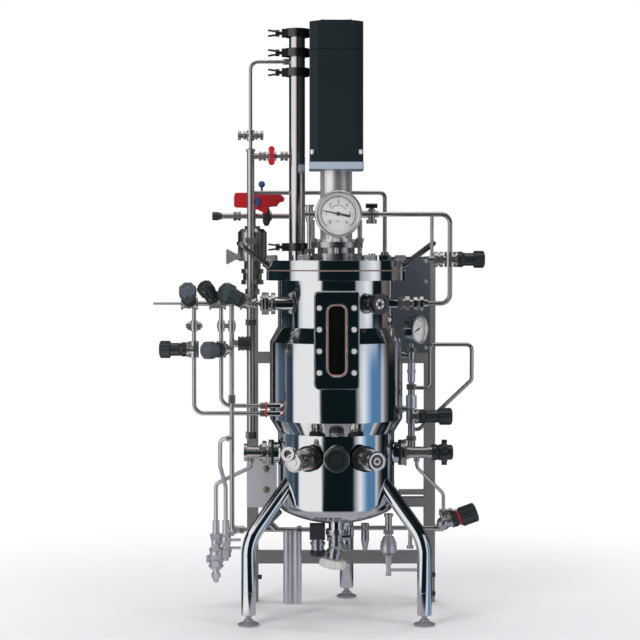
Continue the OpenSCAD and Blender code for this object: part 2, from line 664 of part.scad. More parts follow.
module gauge_manifold() color("silver") difference() {
    union() {
        rod([drop_x - 8, manifold_y, manifold_z], [tap_x + 12, manifold_y, manifold_z], manifold_r);
        pipe([[tap_x + 12, manifold_y, manifold_z], [riser_right_x, manifold_y, manifold_z],
            [riser_right_x, manifold_y, upper_port_z], [vessel_r + 20, manifold_y, upper_port_z]], pipe_d, 16);
        aim([socket_face + run_gap, manifold_y, upper_port_z], [1, 0, 0]) stack([[13, 9, 6], [9, 4], [12, 8, 6], [7, 6]]);
        rod([drop_x, manifold_y, head_top_z + 12], [drop_x, manifold_y, manifold_z], 4);
        translate([drop_x, manifold_y, head_top_z + 12]) stack([[8, 8, 6]]);
        translate([drop_x, manifold_y, manifold_z - 13]) stack([[6, 26], [8, 3]]);
        translate([tap_x, manifold_y, manifold_z - 16]) stack([[9, 7], [6, 18]]);
        aim([gauge_x, manifold_y, manifold_z], [0, -1, 0]) cylinder(r = 7, h = gauge_back + manifold_y);
        for (x = [-18, 30]) aim([x, manifold_y, manifold_z], [1, 0, 0]) cylinder(r = 9, h = 8, $fn = 6);
        // top right valve
        translate([riser_right_x, manifold_y, upper_port_z + 75]) {
            translate([0, 0, -13]) cylinder(r = 9.6, h = 26);
            aim([0, 0, 0], [1, 0, 0]) boss();
            aim([0, 0, 0], [-1, 0, 0]) stack([[7, 12], [13, 6], [10, 3], [13, 6], [6, 10]]);
        }
        rod([riser_right_x - 31, manifold_y, upper_port_z + 75], [riser_right_x - 31, manifold_y, manifold_z], thin_d / 2);
    }
    translate([tap_x, manifold_y, manifold_z + 3]) cylinder(r = 2.5 + run_gap, h = 10);
}
module gauge_tap_handle() color("dimgrey") translate([tap_x, manifold_y, manifold_z + 9 + lift_gap]) {
    translate([0, 0, -5]) cylinder(r = 2.5, h = 6);
    stack([[4, 5]]);
    rod([-10, 0, 5], [10, 0, 5], 4);
}

module dial_case(r, depth) difference() {
    stack([[r - 2, depth - 8], [r, 8]]);
    translate([0, 0, depth - dial_depth]) cylinder(r = r - 4, h = dial_depth + 1);
}
module dial_plate(r, depth) difference() {
    translate([0, 0, depth - dial_depth]) cylinder(r = r - 4 - fit_gap, h = 2);
    translate([0, 0, depth - dial_depth - 1]) cylinder(r = 1 + run_gap, h = 4);
}
module dial_lens(r, depth) translate([0, 0, depth - 2.5]) cylinder(r = r - 4 - fit_gap, h = 2);
module dial_needle(r, depth) translate([0, 0, depth - dial_depth]) {
    translate([0, 0, 0.2]) cylinder(r = 1, h = 3.6);
    translate([0, 0, 2.5]) linear_extrude(1) {
        circle(r * 0.09);
        polygon([[-r * 0.3, -1.3], [0, -1.5], [r * 0.72, -0.3], [r * 0.72, 0.3], [0, 1.5], [-r * 0.3, 1.3]]);
    }
}
module main_gauge_place() translate([gauge_x, -gauge_back, manifold_z]) rotate([90, 0, 0]) children();
module side_gauge_place() translate(side_gauge_p) rotate(side_gauge_turn) rotate([90, 0, 0])
    translate([0, 0, -side_gauge_depth / 2]) children();

module gauge_cases() color("lightgrey") {
    main_gauge_place() dial_case(gauge_r, gauge_depth);
    side_gauge_place() dial_case(side_gauge_r, side_gauge_depth);
}
module gauge_dials() color("white") {
    main_gauge_place() dial_plate(gauge_r, gauge_depth);
    side_gauge_place() dial_plate(side_gauge_r, side_gauge_depth);
}
module gauge_lenses() color("lightblue", 0.3) {
    main_gauge_place() dial_lens(gauge_r, gauge_depth);
    side_gauge_place() dial_lens(side_gauge_r, side_gauge_depth);
}
module main_gauge_needle() color("black") main_gauge_place() rotate(needle_angle) dial_needle(gauge_r, gauge_depth);
module side_gauge_needle() color("black") side_gauge_place() rotate(200) dial_needle(side_gauge_r, side_gauge_depth);

// ---- left valve group ----

// each valve: its middle, the turn of its stem from the front, and the stem's tilt up
left_valves = [
    [[valve_x[0], left_y, left_z], 0, 30],
    [[valve_x[1], left_y, left_z], -30, 35],
    [[valve_x[2], left_y, left_z], -42, 20],
    [[left_down_x[0], left_y, row_z], -90, 0],
    [[valve_x[1] + 14, left_y, row_z], -40, 0]];
left_necks = [8, 6, 12, 16, 6];
left_bosses = [12, 16, 20, 12, 14];
function stem_way(v) = [sin(v[1]) * cos(v[2]), -cos(v[1]) * cos(v[2]), sin(v[2])];

module left_manifold() color("silver") {
    rod([-socket_face - 26 - 2 * run_gap, left_y, left_z], [valve_x[0] - 14, left_y, left_z], 4);
    rod([valve_x[0] - 13, left_y, left_z], [lance_tip_x, left_y, left_z], 2.2);
    for (i = [0 : 4]) aim(left_valves[i][0], stem_way(left_valves[i])) boss(left_bosses[i]);
    for (x = valve_x) {
        rod([x - 14, left_y, left_z], [x + 14, left_y, left_z], 8);
        for (s = [-14, 11]) rod([x + s, left_y, left_z], [x + s + 3, left_y, left_z], 10.5);
    }
    // pipes that drop to the jacket, through the second row
    for (i = [0, 1]) {
        pipe([[left_down_x[i], left_y, left_z], [left_down_x[i], left_y, low_line_z[i]],
            [-jacket_r - 3, left_y, low_line_z[i]]], thin_d + 1, 16);
        aim([-jacket_r - 15, left_y, low_line_z[i]], [1, 0, 0]) cylinder(r = 5.5, h = 12, $fn = 6);
        translate([left_down_x[i], left_y, row_z - 14]) stack([[8, 28]]);
    }
    pipe([[left_down_x[2], left_y, left_z], [left_down_x[2], left_y, bottom_z], [left_down_x[2], -12, bottom_z]], pipe_d, 14);
    rod([left_down_x[1], left_y, row_z], [left_down_x[2], left_y, row_z], 6);
    aim([left_down_x[2] + 2, left_y, row_z + 10], [1, 0, 0]) stack([[6, 9]]);
    rod([left_down_x[2], left_y, lower_port_z + 30], [left_down_x[2] - 9, left_y, lower_port_z + 30], 5);
    for (x = left_down_x) translate([x, left_y, left_z - 47]) stack([[6, 5], [7, 8], [6, 5]]);
    for (x = [left_down_x[0], left_down_x[1] + 8]) aim([x - 14, left_y, left_z - 38], [1, 0, 0])
        stack([[4, 3], [7, 6, 6], [4, 10], [7, 6, 6], [4, 3]]);
    translate([left_down_x[2], left_y, lower_port_z + 90]) stack([[6, 14, 6]]);
}

module left_knob(i, r = wheel_r) aim(left_valves[i][0], stem_way(left_valves[i]))
    hand_wheel(left_necks[i], left_bosses[i], r);
module left_knob_1() color("slategray") left_knob(0);
module left_knob_2() color("#222") left_knob(1, wheel_r - 1);
module left_knob_3() color("#344") left_knob(2, wheel_r + 2);
module left_knob_4() color("#222") left_knob(3);
module left_knob_5() color("slategray") left_knob(4);

// ---- right valve group ----

chain_branches = [chain_top_z - 22, middle_valve_z + 13];
port_line_x = port_face + 6;
port_wheel_x = port_face + 54;
low_valve_p = [188, bottom_y, bottom_z + 8];
low_valve_way = [cos(20), 0, sin(20)];
low_boss = 16;

module right_manifold() color("silver") {
    // upright chain beside the jacket, from the port line up to the side gauge
    translate([chain_p[0], chain_p[1], chain_low_z]) stack([[7, 8], [8.5, 8, 6], [6, 22],
        [9, 24], [6, 14], [8.5, 9, 6], [6, 12], [8.5, 9, 6], [5, 44], [7, 12], [8.5, 8, 6],
        [5, chain_top_z - chain_low_z - 170]]);
    for (z = chain_branches) rod([jacket_r + 2, chain_p[1], z], [chain_p[0], chain_p[1], z], 5);
    for (z = [middle_valve_z - 25, middle_valve_z + 48]) rod([chain_p[0], chain_p[1], z], [chain_p[0], loop_y - 10, z], 5);
    aim([chain_p[0], chain_p[1], middle_valve_z], [1, 0, 0]) boss();
    // port line with its flange, ring and branches
    aim([port_face + run_gap, 0, lower_port_z], [1, 0, 0]) stack([[port_r, 6], [23, 4], [12, 5],
        [10, port_wheel_x - port_face - 23 - run_gap], [11.5, 8]]);
    rod([chain_p[0], 0, lower_port_z], [chain_p[0], chain_p[1], lower_port_z], 7);
    translate([chain_p[0], chain_p[1], lower_port_z]) cylinder(r = 7, h = chain_low_z - lower_port_z);
    translate([port_face + 28, 0, lower_port_z - 16]) cylinder(r = 5, h = 14);
    // low valve
    translate(low_valve_p) {
        sphere(r = 12);
        aim([0, 0, 0], low_valve_way) boss(low_boss);
        stack([[6, 14], [8, 8, 6]]);
        rod([0, 0, 17], [0, 26, 17], 4);
        aim([-5.5, 26, 17], [1, 0, 0]) stack([[5, 17], [6.5, 5], [4, 14], [5.5, 5]]);
    }
    rod([low_valve_p[0] - 16, bottom_y, bottom_z], [low_valve_p[0], bottom_y, bottom_z], 6);
    right_loop();
}
module right_loop() {
    z0 = middle_valve_z - 25;
    z1 = middle_valve_z + 48;
    x = chain_p[0];
    sweep([[x, loop_y - 10, z1], [x, loop_y, z1], [x + 34, loop_y, z1], [x + 34, loop_y, z1 + 76],
        [x + 107, loop_y, z1 + 76], [x + 107, loop_y, z1 + 14], [x + 15, loop_y, z0], [x, loop_y, z0],
        [x, loop_y - 10, z0]], thin_d + 1, 9);
    sweep([[port_face + 28, 0, lower_port_z - 16], [port_face + 28, 0, lower_port_z - 26],
        [low_valve_p[0], bottom_y, bottom_z + 60], [low_valve_p[0], bottom_y, low_valve_p[2] + 22]], thin_d, 12);
}

module valve_bonnets() color("#1c1c1c") {
    for (i = [0 : 4]) aim(left_valves[i][0], stem_way(left_valves[i])) bonnet(left_bosses[i]);
    aim([riser_right_x, manifold_y, upper_port_z + 75], [1, 0, 0]) bonnet(boss_h, bonnet_r + 1);
    aim([chain_p[0], chain_p[1], middle_valve_z], [1, 0, 0]) bonnet();
    aim(low_valve_p, low_valve_way) bonnet(low_boss, bonnet_r + 1);
    // body of the port valve
    aim([port_wheel_x + run_gap, 0, lower_port_z], [1, 0, 0]) bonnet(0, bonnet_r + 2);
    // ribbed filter barrel at the second row
    aim([left_down_x[2] + 11, left_y, row_z + 10], [1, 0, 0])
        stack([[12, 4], [10.5, 2], [12, 4], [10.5, 2], [12, 4], [10.5, 2], [12, 4]]);
    // cap on the gas line
    aim([-205, filter_p[1], filter_line_z], [-1, 0, 0]) stack([[6, 5], [7.5, 12]]);
}

module right_knob_top() color("#222") aim([riser_right_x, manifold_y, upper_port_z + 75], [1, 0, 0]) hand_wheel(16);
module right_knob_middle() color("#222") aim([chain_p[0], chain_p[1], middle_valve_z], [1, 0, 0]) hand_wheel(24, boss_h, wheel_r, 22);
module right_knob_low() color("#222") aim(low_valve_p, low_valve_way) hand_wheel(3, low_boss, wheel_r + 2, 30);
module right_knob_port() color("#222") aim([port_wheel_x + run_gap, 0, lower_port_z], [1, 0, 0])
    translate([0, 0, bonnet_h + lift_gap]) {
        translate([0, 0, -bonnet_h + 2]) cylinder(r = stem_r, h = bonnet_h);
        cylinder(r = wheel_r - 1, h = 5);
        translate([0, 0, 5]) difference() {
            cylinder(r = 22, h = 9);
            for (a = [0 : 60 : 300]) rotate(a + 30) translate([25, 0, -1]) cylinder(r = 9, h = 11);
        }
        translate([0, 0, 14]) stack([[wheel_r - 2, 8], [wheel_r - 2, 2, $fn, wheel_r - 4]]);
    }

// ---- ports ----

module port_fittings() color("silver") {
    // sampling valve: a steel body with a side outlet that faces the front
    aim([0, 0, lower_port_z], heading(sample_port)) translate([0, 0, port_face + run_gap])
        stack([[port_r, 6], [13, 6], [17, 8], [15, 24], [17, 6], [14, 8]]);
    translate(heading(sample_port) * (port_face + 32) + [0, 0, lower_port_z]) {
        rod([0, 0, 0], [-14, -10, 12], 9);
        translate([-14, -10, 12]) aim([0, 0, 0], [-0.4, -0.9, 0.1]) difference() {
            cylinder(r = 10.5, h = 16);
            translate([0, 0, 6]) cylinder(r = 6.5, h = 12);
        }
    }
    // probe head
    aim([0, 0, lower_port_z], heading(probe_port)) translate([0, 0, port_face + run_gap])
        stack([[port_r, 6], [14, 5], [18, 10], [16, 14, 6], [13, 8], [13, 3, $fn, 10]]);
    // blind flange and stub on the left
    aim([0, 0, lower_port_z], heading(left_port)) translate([0, 0, port_face + run_gap])
        stack([[port_r, 6], [11, 3], [20, 4], [20, 3], [11, 26], [15, 6]]);
    aim([0, 0, lower_port_z], heading(left_port)) for (a = [45 : 90 : 315])
        rotate(a) translate([15.5, 0, port_face + 15]) cylinder(r = 3.2, h = 6, $fn = 6);
    translate([-port_face - 36, 0, lower_port_z - 17]) cylinder(r = 5, h = 14);
    // upper ports
    aim([0, 0, upper_port_z], heading(upper_cap_port)) translate([0, 0, port_face])
        difference() {
            stack([[17, 5], [14, 6, 6], [17, 5]]);
            translate([0, 0, 12]) cylinder(r = 10, h = 6);
        }
    aim([-socket_face - run_gap, left_y, left_z], [-1, 0, 0]) stack([[18, 7], [13, 4], [19, 10, 6], [12, 5]]);
}
module port_caps() color("#1a1a1a") {
    for (a = [sample_port, probe_port, left_port, right_port]) aim([0, 0, lower_port_z], heading(a))
        translate([0, 0, port_face - 4]) difference() {
            cylinder(r = 22, h = 9);
            translate([0, 0, -1]) cylinder(r = port_r + fit_gap, h = 11);
        }
    aim([0, 0, lower_port_z], heading(cap_port)) translate([0, 0, port_face]) {
        stack([[21, 6], [16, 8], [16, 2, $fn, 14]]);
    }
}

// ---- bottom ----

module lower_pipes() color("silver") {
    // to the low valve on the right
    pipe([[low_valve_p[0] - 16 - run_gap, bottom_y, bottom_z], [drain_x, bottom_y, bottom_z],
        [drain_x, 9, bottom_z]], pipe_d, 6);
    translate([92, bottom_y, bottom_z - 8]) stack([[8, 3], [6, 25], [8, 5]]);
    translate([51, bottom_y, bottom_z - 38]) stack([[4, 16, $fn, 7], [7, 19], [5, 7], [7, 4]]);
    translate([130, bottom_y, bottom_z - 36]) stack([[6, 5], [3.5, 31]]);
    // drain lines on the left
    rod([-46, 0, bottom_z], [-166, 0, bottom_z], pipe_d / 2);
    for (x = [-60, -160]) aim([x, 0, bottom_z], [-1, 0, 0]) cylinder(r = 7, h = 8, $fn = 6);
    aim([-104, 0, bottom_z], [-1, 0, 1]) cylinder(r = 6, h = 14);
    for (x = [-84, -68]) translate([x, 0, 20]) cylinder(r = 6, h = bottom_z - 20);
}
module left_drops() {
    x = -port_face - 36;
    sweep([[x, 0, lower_port_z - 17], [x, 0, lower_port_z - 26], [trap_x[0], 0, lower_port_z - 55],
        [trap_x[0], 0, bottom_z + 16]], thin_d + 1, 10);
    sweep([[left_down_x[2] - 9, left_y, lower_port_z + 30], [left_down_x[2] - 20, left_y, lower_port_z + 30],
        [trap_x[1] - 8, -30, lower_port_z - 20], [trap_x[1], 0, lower_port_z - 60],
        [trap_x[1], 0, bottom_z + 16]], thin_d + 1, 10);
}
module steam_traps() color("darkgrey") {
    translate([trap_x[0], 0, 58]) stack([[4, 8, $fn, 5.5], [8, 8, 6], [6, 8], [10, 10], [12.5, 14, 6], [11, 12],
        [8, 14], [9.5, 8, 6], [6, bottom_z - 58 - 82 + 16]]);
    translate([trap_x[1], 0, bottom_z - 54]) stack([[5, 6], [9, 10, 6], [7, 12], [8.6, 14], [6, 28]]);
    rod([trap_x[0], 0, bottom_z - 46], [trap_x[1], 0, bottom_z - 46], 4.5);
    rod([trap_x[1], 0, bottom_z], [-168 - run_gap, 0, bottom_z], 5);
    rod([left_down_x[2] - 9, 0, bottom_z], [left_down_x[2] + 8, 0, bottom_z], 7);
    aim([left_down_x[2], 0, bottom_z], [0, -1, 0]) cylinder(r = 6, h = 12 - run_gap);
    for (z = [-32, -18]) rod([trap_x[1], 0, bottom_z + z], [trap_x[1] + 26, 0, bottom_z + z], 2.5);
    // trap on the bottom line
    translate([92, bottom_y, 66]) stack([[5, 6], [4, 14], [6, 22], [14.5, 12], [12, 3],
        [14.5, 12, $fn, 9], [6, bottom_z - 8 - 66 - 69 - run_gap]]);
    rod([92, bottom_y, 76], [150, bottom_y, 76], 3);
    left_drops();
}

drain_x = 25;
drain_tilt = 10;
drain_middle_z = outlet_low_z - 24;
drain_way = [-sin(drain_tilt), 0, -cos(drain_tilt)];
sensor_end = 28;
side_valve_p = [-32, 0, bottom_z - 8];
module drain_valve() color("grey") difference() {
    union() {
        translate([0, 0, drain_middle_z]) {
            translate([0, 0, 24 - 6 - run_gap]) stack([[ferrule_r, 6]]);
            translate([0, 0, -2]) cylinder(r = 12, h = 22);
            sphere(r = 13.5);
            aim([0, 0, 0], drain_way) stack([[12, 10], [14, 5], [12, 11]]);
        }
        rod([0, 0, bottom_z - 12], [-16, 0, bottom_z - 12], 8);
        translate(side_valve_p) {
            translate([-14, -13, -8]) cube([27, 26, 26]);
            rotate([180, 0, 0]) stack([[11, 14], [13, 4], [11, 9]]);
        }
        rod([0, 0, bottom_z - 12], [drain_x, 0, bottom_z - 12], 7);
        translate([drain_x, 0, bottom_z - 12]) cylinder(r = 6, h = 18);
        aim([drain_x, 0, bottom_z], [0, 1, 0]) cylinder(r = 5, h = 9 - run_gap);
    }
    translate([0, 0, drain_middle_z]) aim([0, 0, 0], drain_way) translate([0, 0, 16]) cylinder(r = stem_r + run_gap, h = 12);
    translate(side_valve_p - [0, 0, 28]) cylinder(r = stem_r + run_gap, h = 12);
}
module drain_wheel() color("whitesmoke") translate([0, 0, drain_middle_z]) aim([0, 0, 0], drain_way)
    translate([0, 0, 26 + lift_gap]) {
        translate([0, 0, -8]) cylinder(r = stem_r, h = 9);
        fluted(24, 14, 10);
    }
module drain_side_wheel() color("#1c1c1c") translate(side_valve_p - [0, 0, 27 + lift_gap]) rotate([180, 0, 0]) {
    translate([0, 0, -8]) cylinder(r = stem_r, h = 9);
    fluted(wheel_r - 2, 11, 6);
}
module condensate_sensor() color("#252a2c") aim([-104, 0, bottom_z], [-1, 0, 1]) translate([-sensor_end, -12, 14 + run_gap])
    cube([36, 24, 20]);

// ---- service frame ----

post_left_h = filter_low_z;
rail_band = [70, 92];
bracket_bands = [[173, 190], [195, 203]];
panel_bands = [433, 453, 625];
module service_frame() color("grey") {
    y0 = frame_mid_y - post_w / 2;
    translate([post_right_x - post_w / 2, y0, 0]) cube([post_w, post_w, head_top_z + 7]);
    translate([-post_left_x - post_w / 2, y0, 0]) cube([post_w, post_w, post_left_h]);
    for (b = [rail_band, [panel_bands[0], panel_bands[1]]])
        translate([-post_left_x + post_w / 2, y0, b[0]])
            cube([post_left_x + post_right_x - post_w, post_w, b[1] - b[0]]);
    for (b = bracket_bands) translate([post_right_x - post_w / 2 - 46, y0, b[0]]) cube([48, post_w, b[1] - b[0]]);
    translate([-post_left_x + post_w / 2 - 1, y0, 188]) difference() {
        cube([30, 4, 80]);
        for (z = [17, 55]) translate([16, -1, z]) rotate([-90, 0, 0]) cylinder(r = 3.3, h = 6);
    }
}
module frame_panel() color("darkslategray") {
    y0 = frame_mid_y - post_w / 2 - 3;
    translate([80, y0, panel_bands[1]]) cube([post_right_x - 80, 3, panel_bands[2] - panel_bands[1]]);
}

vessel_shell();
jacket_shell();
head_plate();
head_gasket();
head_bolts();
lifting_handles();
sight_glass_cover();
sight_glass_pane();
sight_glass_gasket();
cap_screws();
legs();
levelling_feet();
motor_housing();
motor_flange();
coupling_lantern();
seal_housing();
stirrer_shaft();
stirrer_blades();
baffles();
sparger_tube();
condenser_column();
tri_clamps();
riser_pipe();
cooling_pipe();
cooling_handle();
head_steam_pipe();
filter_housing();
filter_lever();
filter_lever_caps();
filter_tap_handle();
gauge_manifold();
gauge_tap_handle();
gauge_cases();
gauge_dials();
gauge_lenses();
main_gauge_needle();
side_gauge_needle();
left_manifold();
left_knob_1();
left_knob_2();
left_knob_3();
left_knob_4();
left_knob_5();
right_manifold();
valve_bonnets();
right_knob_top();
right_knob_middle();
right_knob_port();
right_knob_low();
port_fittings();
port_caps();
lower_pipes();
steam_traps();
drain_valve();
drain_wheel();
drain_side_wheel();
condensate_sensor();
service_frame();
frame_panel();
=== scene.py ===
"""Looks of the bench bioreactor: finishes, small fittings, floor, lights and camera."""
import json
import math

import bmesh
import bpy
from mathutils import Matrix, Vector


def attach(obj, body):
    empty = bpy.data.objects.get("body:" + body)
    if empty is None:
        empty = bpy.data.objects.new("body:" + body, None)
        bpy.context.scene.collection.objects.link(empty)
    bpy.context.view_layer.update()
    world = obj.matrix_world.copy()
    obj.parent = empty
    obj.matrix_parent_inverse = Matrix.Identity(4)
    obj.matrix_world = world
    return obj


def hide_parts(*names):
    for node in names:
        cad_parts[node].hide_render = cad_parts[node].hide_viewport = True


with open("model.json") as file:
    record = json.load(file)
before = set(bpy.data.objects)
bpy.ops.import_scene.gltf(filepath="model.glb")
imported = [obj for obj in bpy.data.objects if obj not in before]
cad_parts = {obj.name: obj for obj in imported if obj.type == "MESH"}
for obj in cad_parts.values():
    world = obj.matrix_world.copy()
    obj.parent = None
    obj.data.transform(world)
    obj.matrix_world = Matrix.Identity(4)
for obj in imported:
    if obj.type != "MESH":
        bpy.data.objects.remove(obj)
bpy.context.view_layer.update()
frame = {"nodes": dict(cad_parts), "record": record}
nodes = frame["nodes"]

DEBURRED = 0.0006   # how wide the eased edge of a part is, in metres
WELD = 2e-6         # points of a mesh nearer than this are one, in metres


# ---- shader maths ----

class Wire:
    """A value in a material. Arithmetic on it adds the Math node that does it."""

    def __init__(self, shading, socket):
        self.shading, self.socket = shading, socket

    def _with(self, operation, a, b):
        return self.shading.add("ShaderNodeMath", {"operation": operation}, a, b)

    def __add__(self, other): return self._with("ADD", self, other)
    def __radd__(self, other): return self._with("ADD", other, self)
    def __rsub__(self, other): return self._with("SUBTRACT", other, self)
    def __mul__(self, other): return self._with("MULTIPLY", self, other)
    def __rmul__(self, other): return self._with("MULTIPLY", other, self)
    def __truediv__(self, other): return self._with("DIVIDE", self, other)

    def above(self, low, high):
        """0 below low, 1 above high, and smooth between them."""
        return self.shading.add("ShaderNodeMapRange", {"interpolation_type": "SMOOTHSTEP"}, self, low, high)


def set_stops(ramp, stops):
    """Gives a colour ramp its stops: a place and a colour for each."""
    while len(ramp.elements) < len(stops):
        ramp.elements.new(1.0)
    for element, (place, colour) in zip(ramp.elements, stops):
        element.position, element.color = place, (*colour, 1)


class Shading:
    """A shader tree, and the ways to add nodes to it."""

    def __init__(self, tree):
        self.tree = tree

    def add(self, kind, settings=None, *values, out=0, **named):
        """Adds a node: its settings first, then what its sockets read, by place or by name."""
        node = self.tree.nodes.new(kind)
        for key, value in (settings or {}).items():
            if key == "stops":
                set_stops(node.color_ramp, value)
            else:
                setattr(node, key, value)
        for key, value in list(enumerate(values)) + [(k.replace("_", " "), v) for k, v in named.items()]:
            if isinstance(value, Wire):
                self.tree.links.new(value.socket, node.inputs[key])
            elif value is not None:
                node.inputs[key].default_value = value
        return Wire(self, node.outputs[out])

    def here(self):
        """The object's own coordinates."""
        return self.add("ShaderNodeTexCoord", out="Object")

    def part(self, vector, axis):
        """One of a vector's three values."""
        return self.add("ShaderNodeSeparateXYZ", {}, vector, out=axis)

    def reach(self):
        """The distance from the object's own origin."""
        return self.add("ShaderNodeVectorMath", {"operation": "LENGTH"}, self.here(), out="Value")

    def noise(self, scale, detail=3.0, roughness=0.5, stretch=(1, 1, 1)):
        """Cloudy noise in the object's own coordinates, which can be stretched."""
        place = self.add("ShaderNodeMapping", {"vector_type": "POINT"}, Vector=self.here(), Scale=stretch)
        return self.add("ShaderNodeTexNoise", {}, Vector=place, Scale=scale, Detail=detail, Roughness=roughness)

    def tint(self, factor, one, other):
        """A colour between one and other. A Mix node has its colours after the sockets of its other kinds."""
        one, other = (c if isinstance(c, Wire) else (*c, 1) for c in (one, other))
        return self.add("ShaderNodeMix", {"data_type": "RGBA"}, factor, *[None] * 5, one, other, out=2)

    def seen_rays(self):
        """1 for what the camera, metal and glass see, and 0 for what lights the object."""
        camera, glossy, through = (self.add("ShaderNodeLightPath", out="Is %s Ray" % kind)
                                   for kind in ("Camera", "Glossy", "Transmission"))
        either = self.add("ShaderNodeMath", {"operation": "MAXIMUM"}, camera, glossy)
        return self.add("ShaderNodeMath", {"operation": "MAXIMUM"}, either, through)


class Finish(Shading):
    """One material, with its shader and the nodes that feed it."""

    def __init__(self, name, **constants):
        self.material = bpy.data.materials.new(name)
        self.material.use_nodes = True
        super().__init__(self.material.node_tree)
        self.shader = self.tree.nodes["Principled BSDF"]
        for socket, value in constants.items():
            self.shader.inputs[socket.replace("_", " ")].default_value = value

    def feed(self, **wires):
        """Joins wires to the shader's sockets, and returns the material."""
        for socket, wire in wires.items():
            self.tree.links.new(wire.socket, self.shader.inputs[socket.replace("_", " ")])
        return self.material

    def bump(self, height, strength, distance, edge=DEBURRED):
        """A fine relief, with the sharp edges eased as a maker's deburring leaves them."""
        eased = self.add("ShaderNodeBevel", {"samples": 4}, edge)
        return self.add("ShaderNodeBump", {}, Strength=strength, Distance=distance, Height=height, Normal=eased)


def shaded(colour, factor, lift=0.0):
    """A colour made darker or paler."""
    return tuple(min(1, c * factor + lift) for c in colour)


def polished_steel(name, colour=(0.8, 0.81, 0.82), rough=0.07, smear=0.07, stretch=(1, 1, 1), edge=DEBURRED):
    """Mirror-polished stainless steel with faint handling marks and buffing lines."""
    f = Finish(name, Metallic=1.0)
    marks = f.noise(9.0, detail=5.0, roughness=0.6)
    buffing = f.noise(260.0, detail=2.0, stretch=stretch)
    wipe = f.noise(3.2, detail=2.0).above(0.45, 0.75)
    return f.feed(
        Base_Color=f.tint(marks, shaded(colour, 0.93), colour),
        Roughness=rough + smear * wipe * marks,
        Normal=f.bump(buffing, strength=0.035, distance=0.0004, edge=edge))


def satin_steel(name, colour, rough, grain=320.0, spread=0.14, metal=1.0):
    """Drawn or bead-blasted stainless steel, a little darker where hands and lint gather. Less metal gives the
    milky look of a blasted skin."""
    f = Finish(name, Metallic=metal)
    grime = f.noise(14.0, detail=4.0, roughness=0.6)
    fine = f.noise(grain, roughness=0.6)
    return f.feed(
        Base_Color=f.tint(grime, shaded(colour, 0.82), colour),
        Roughness=rough + spread * grime,
        Normal=f.bump(fine, strength=0.03, distance=0.0004))


def painted(name, colour, rough, coat=0.15):
    """Stoved enamel: faint orange peel, and dust that greys it unevenly."""
    f = Finish(name, Coat_Weight=coat, Coat_Roughness=0.25, Specular_IOR_Level=0.3)
    dust = f.noise(7.0, detail=4.0, roughness=0.6)
    skin = f.noise(420.0, detail=2.0)
    return f.feed(
        Base_Color=f.tint(dust, shaded(colour, 0.88), shaded(colour, 1.1, 0.004)),
        Roughness=rough + 0.12 * dust,
        Normal=f.bump(skin, strength=0.12, distance=0.0004))


def moulded(name, colour, rough, grain=700.0, depth=0.16, gloss=0.5):
    """Moulded plastic with a fine spark-eroded grain, rubbed smoother in patches."""
    f = Finish(name, Specular_IOR_Level=gloss)
    rubbed = f.noise(22.0, roughness=0.55)
    fine = f.noise(grain, detail=2.0)
    return f.feed(
        Base_Color=f.tint(rubbed, shaded(colour, 0.8), shaded(colour, 1.15, 0.006)),
        Roughness=rough + 0.18 * rubbed,
        Normal=f.bump(fine, strength=depth, distance=0.0003))


def clamp_rings(name, plastic, steel, reach):
    """The ports' clamp rings: black moulded ones in front, and steel ones beyond a distance to either side."""
    f = Finish(name)
    across = f.part(f.here(), "X")
    far = (across * across).above(reach ** 2, (reach + 0.001) ** 2)
    worn = f.noise(22.0, roughness=0.55)
    return f.feed(
        Base_Color=f.tint(far, f.tint(worn, plastic, shaded(plastic, 1.4)), steel),
        Metallic=far, Roughness=0.36 - 0.18 * far + 0.12 * worn,
        Normal=f.bump(f.noise(600.0, detail=2.0), strength=0.1, distance=0.0003))


def rubbery(name, colour, rough=0.5):
    """Silicone or dipped vinyl, soft in its sheen and slightly cloudy."""
    f = Finish(name, Sheen_Weight=0.15)
    cloud = f.noise(30.0)
    return f.feed(
        Base_Color=f.tint(cloud, shaded(colour, 0.85), colour),
        Roughness=rough + 0.12 * cloud,
        Normal=f.bump(f.noise(500.0), strength=0.08, distance=0.0003))


def clear_glass(name, tint=(0.97, 0.985, 0.98)):
    """Glass, clear or tinted, with a faint haze in patches."""
    f = Finish(name, Base_Color=(*tint, 1), Transmission_Weight=1.0, IOR=1.47)
    haze = f.noise(20.0).above(0.55, 0.9)
    return f.feed(Roughness=0.01 + 0.05 * haze)


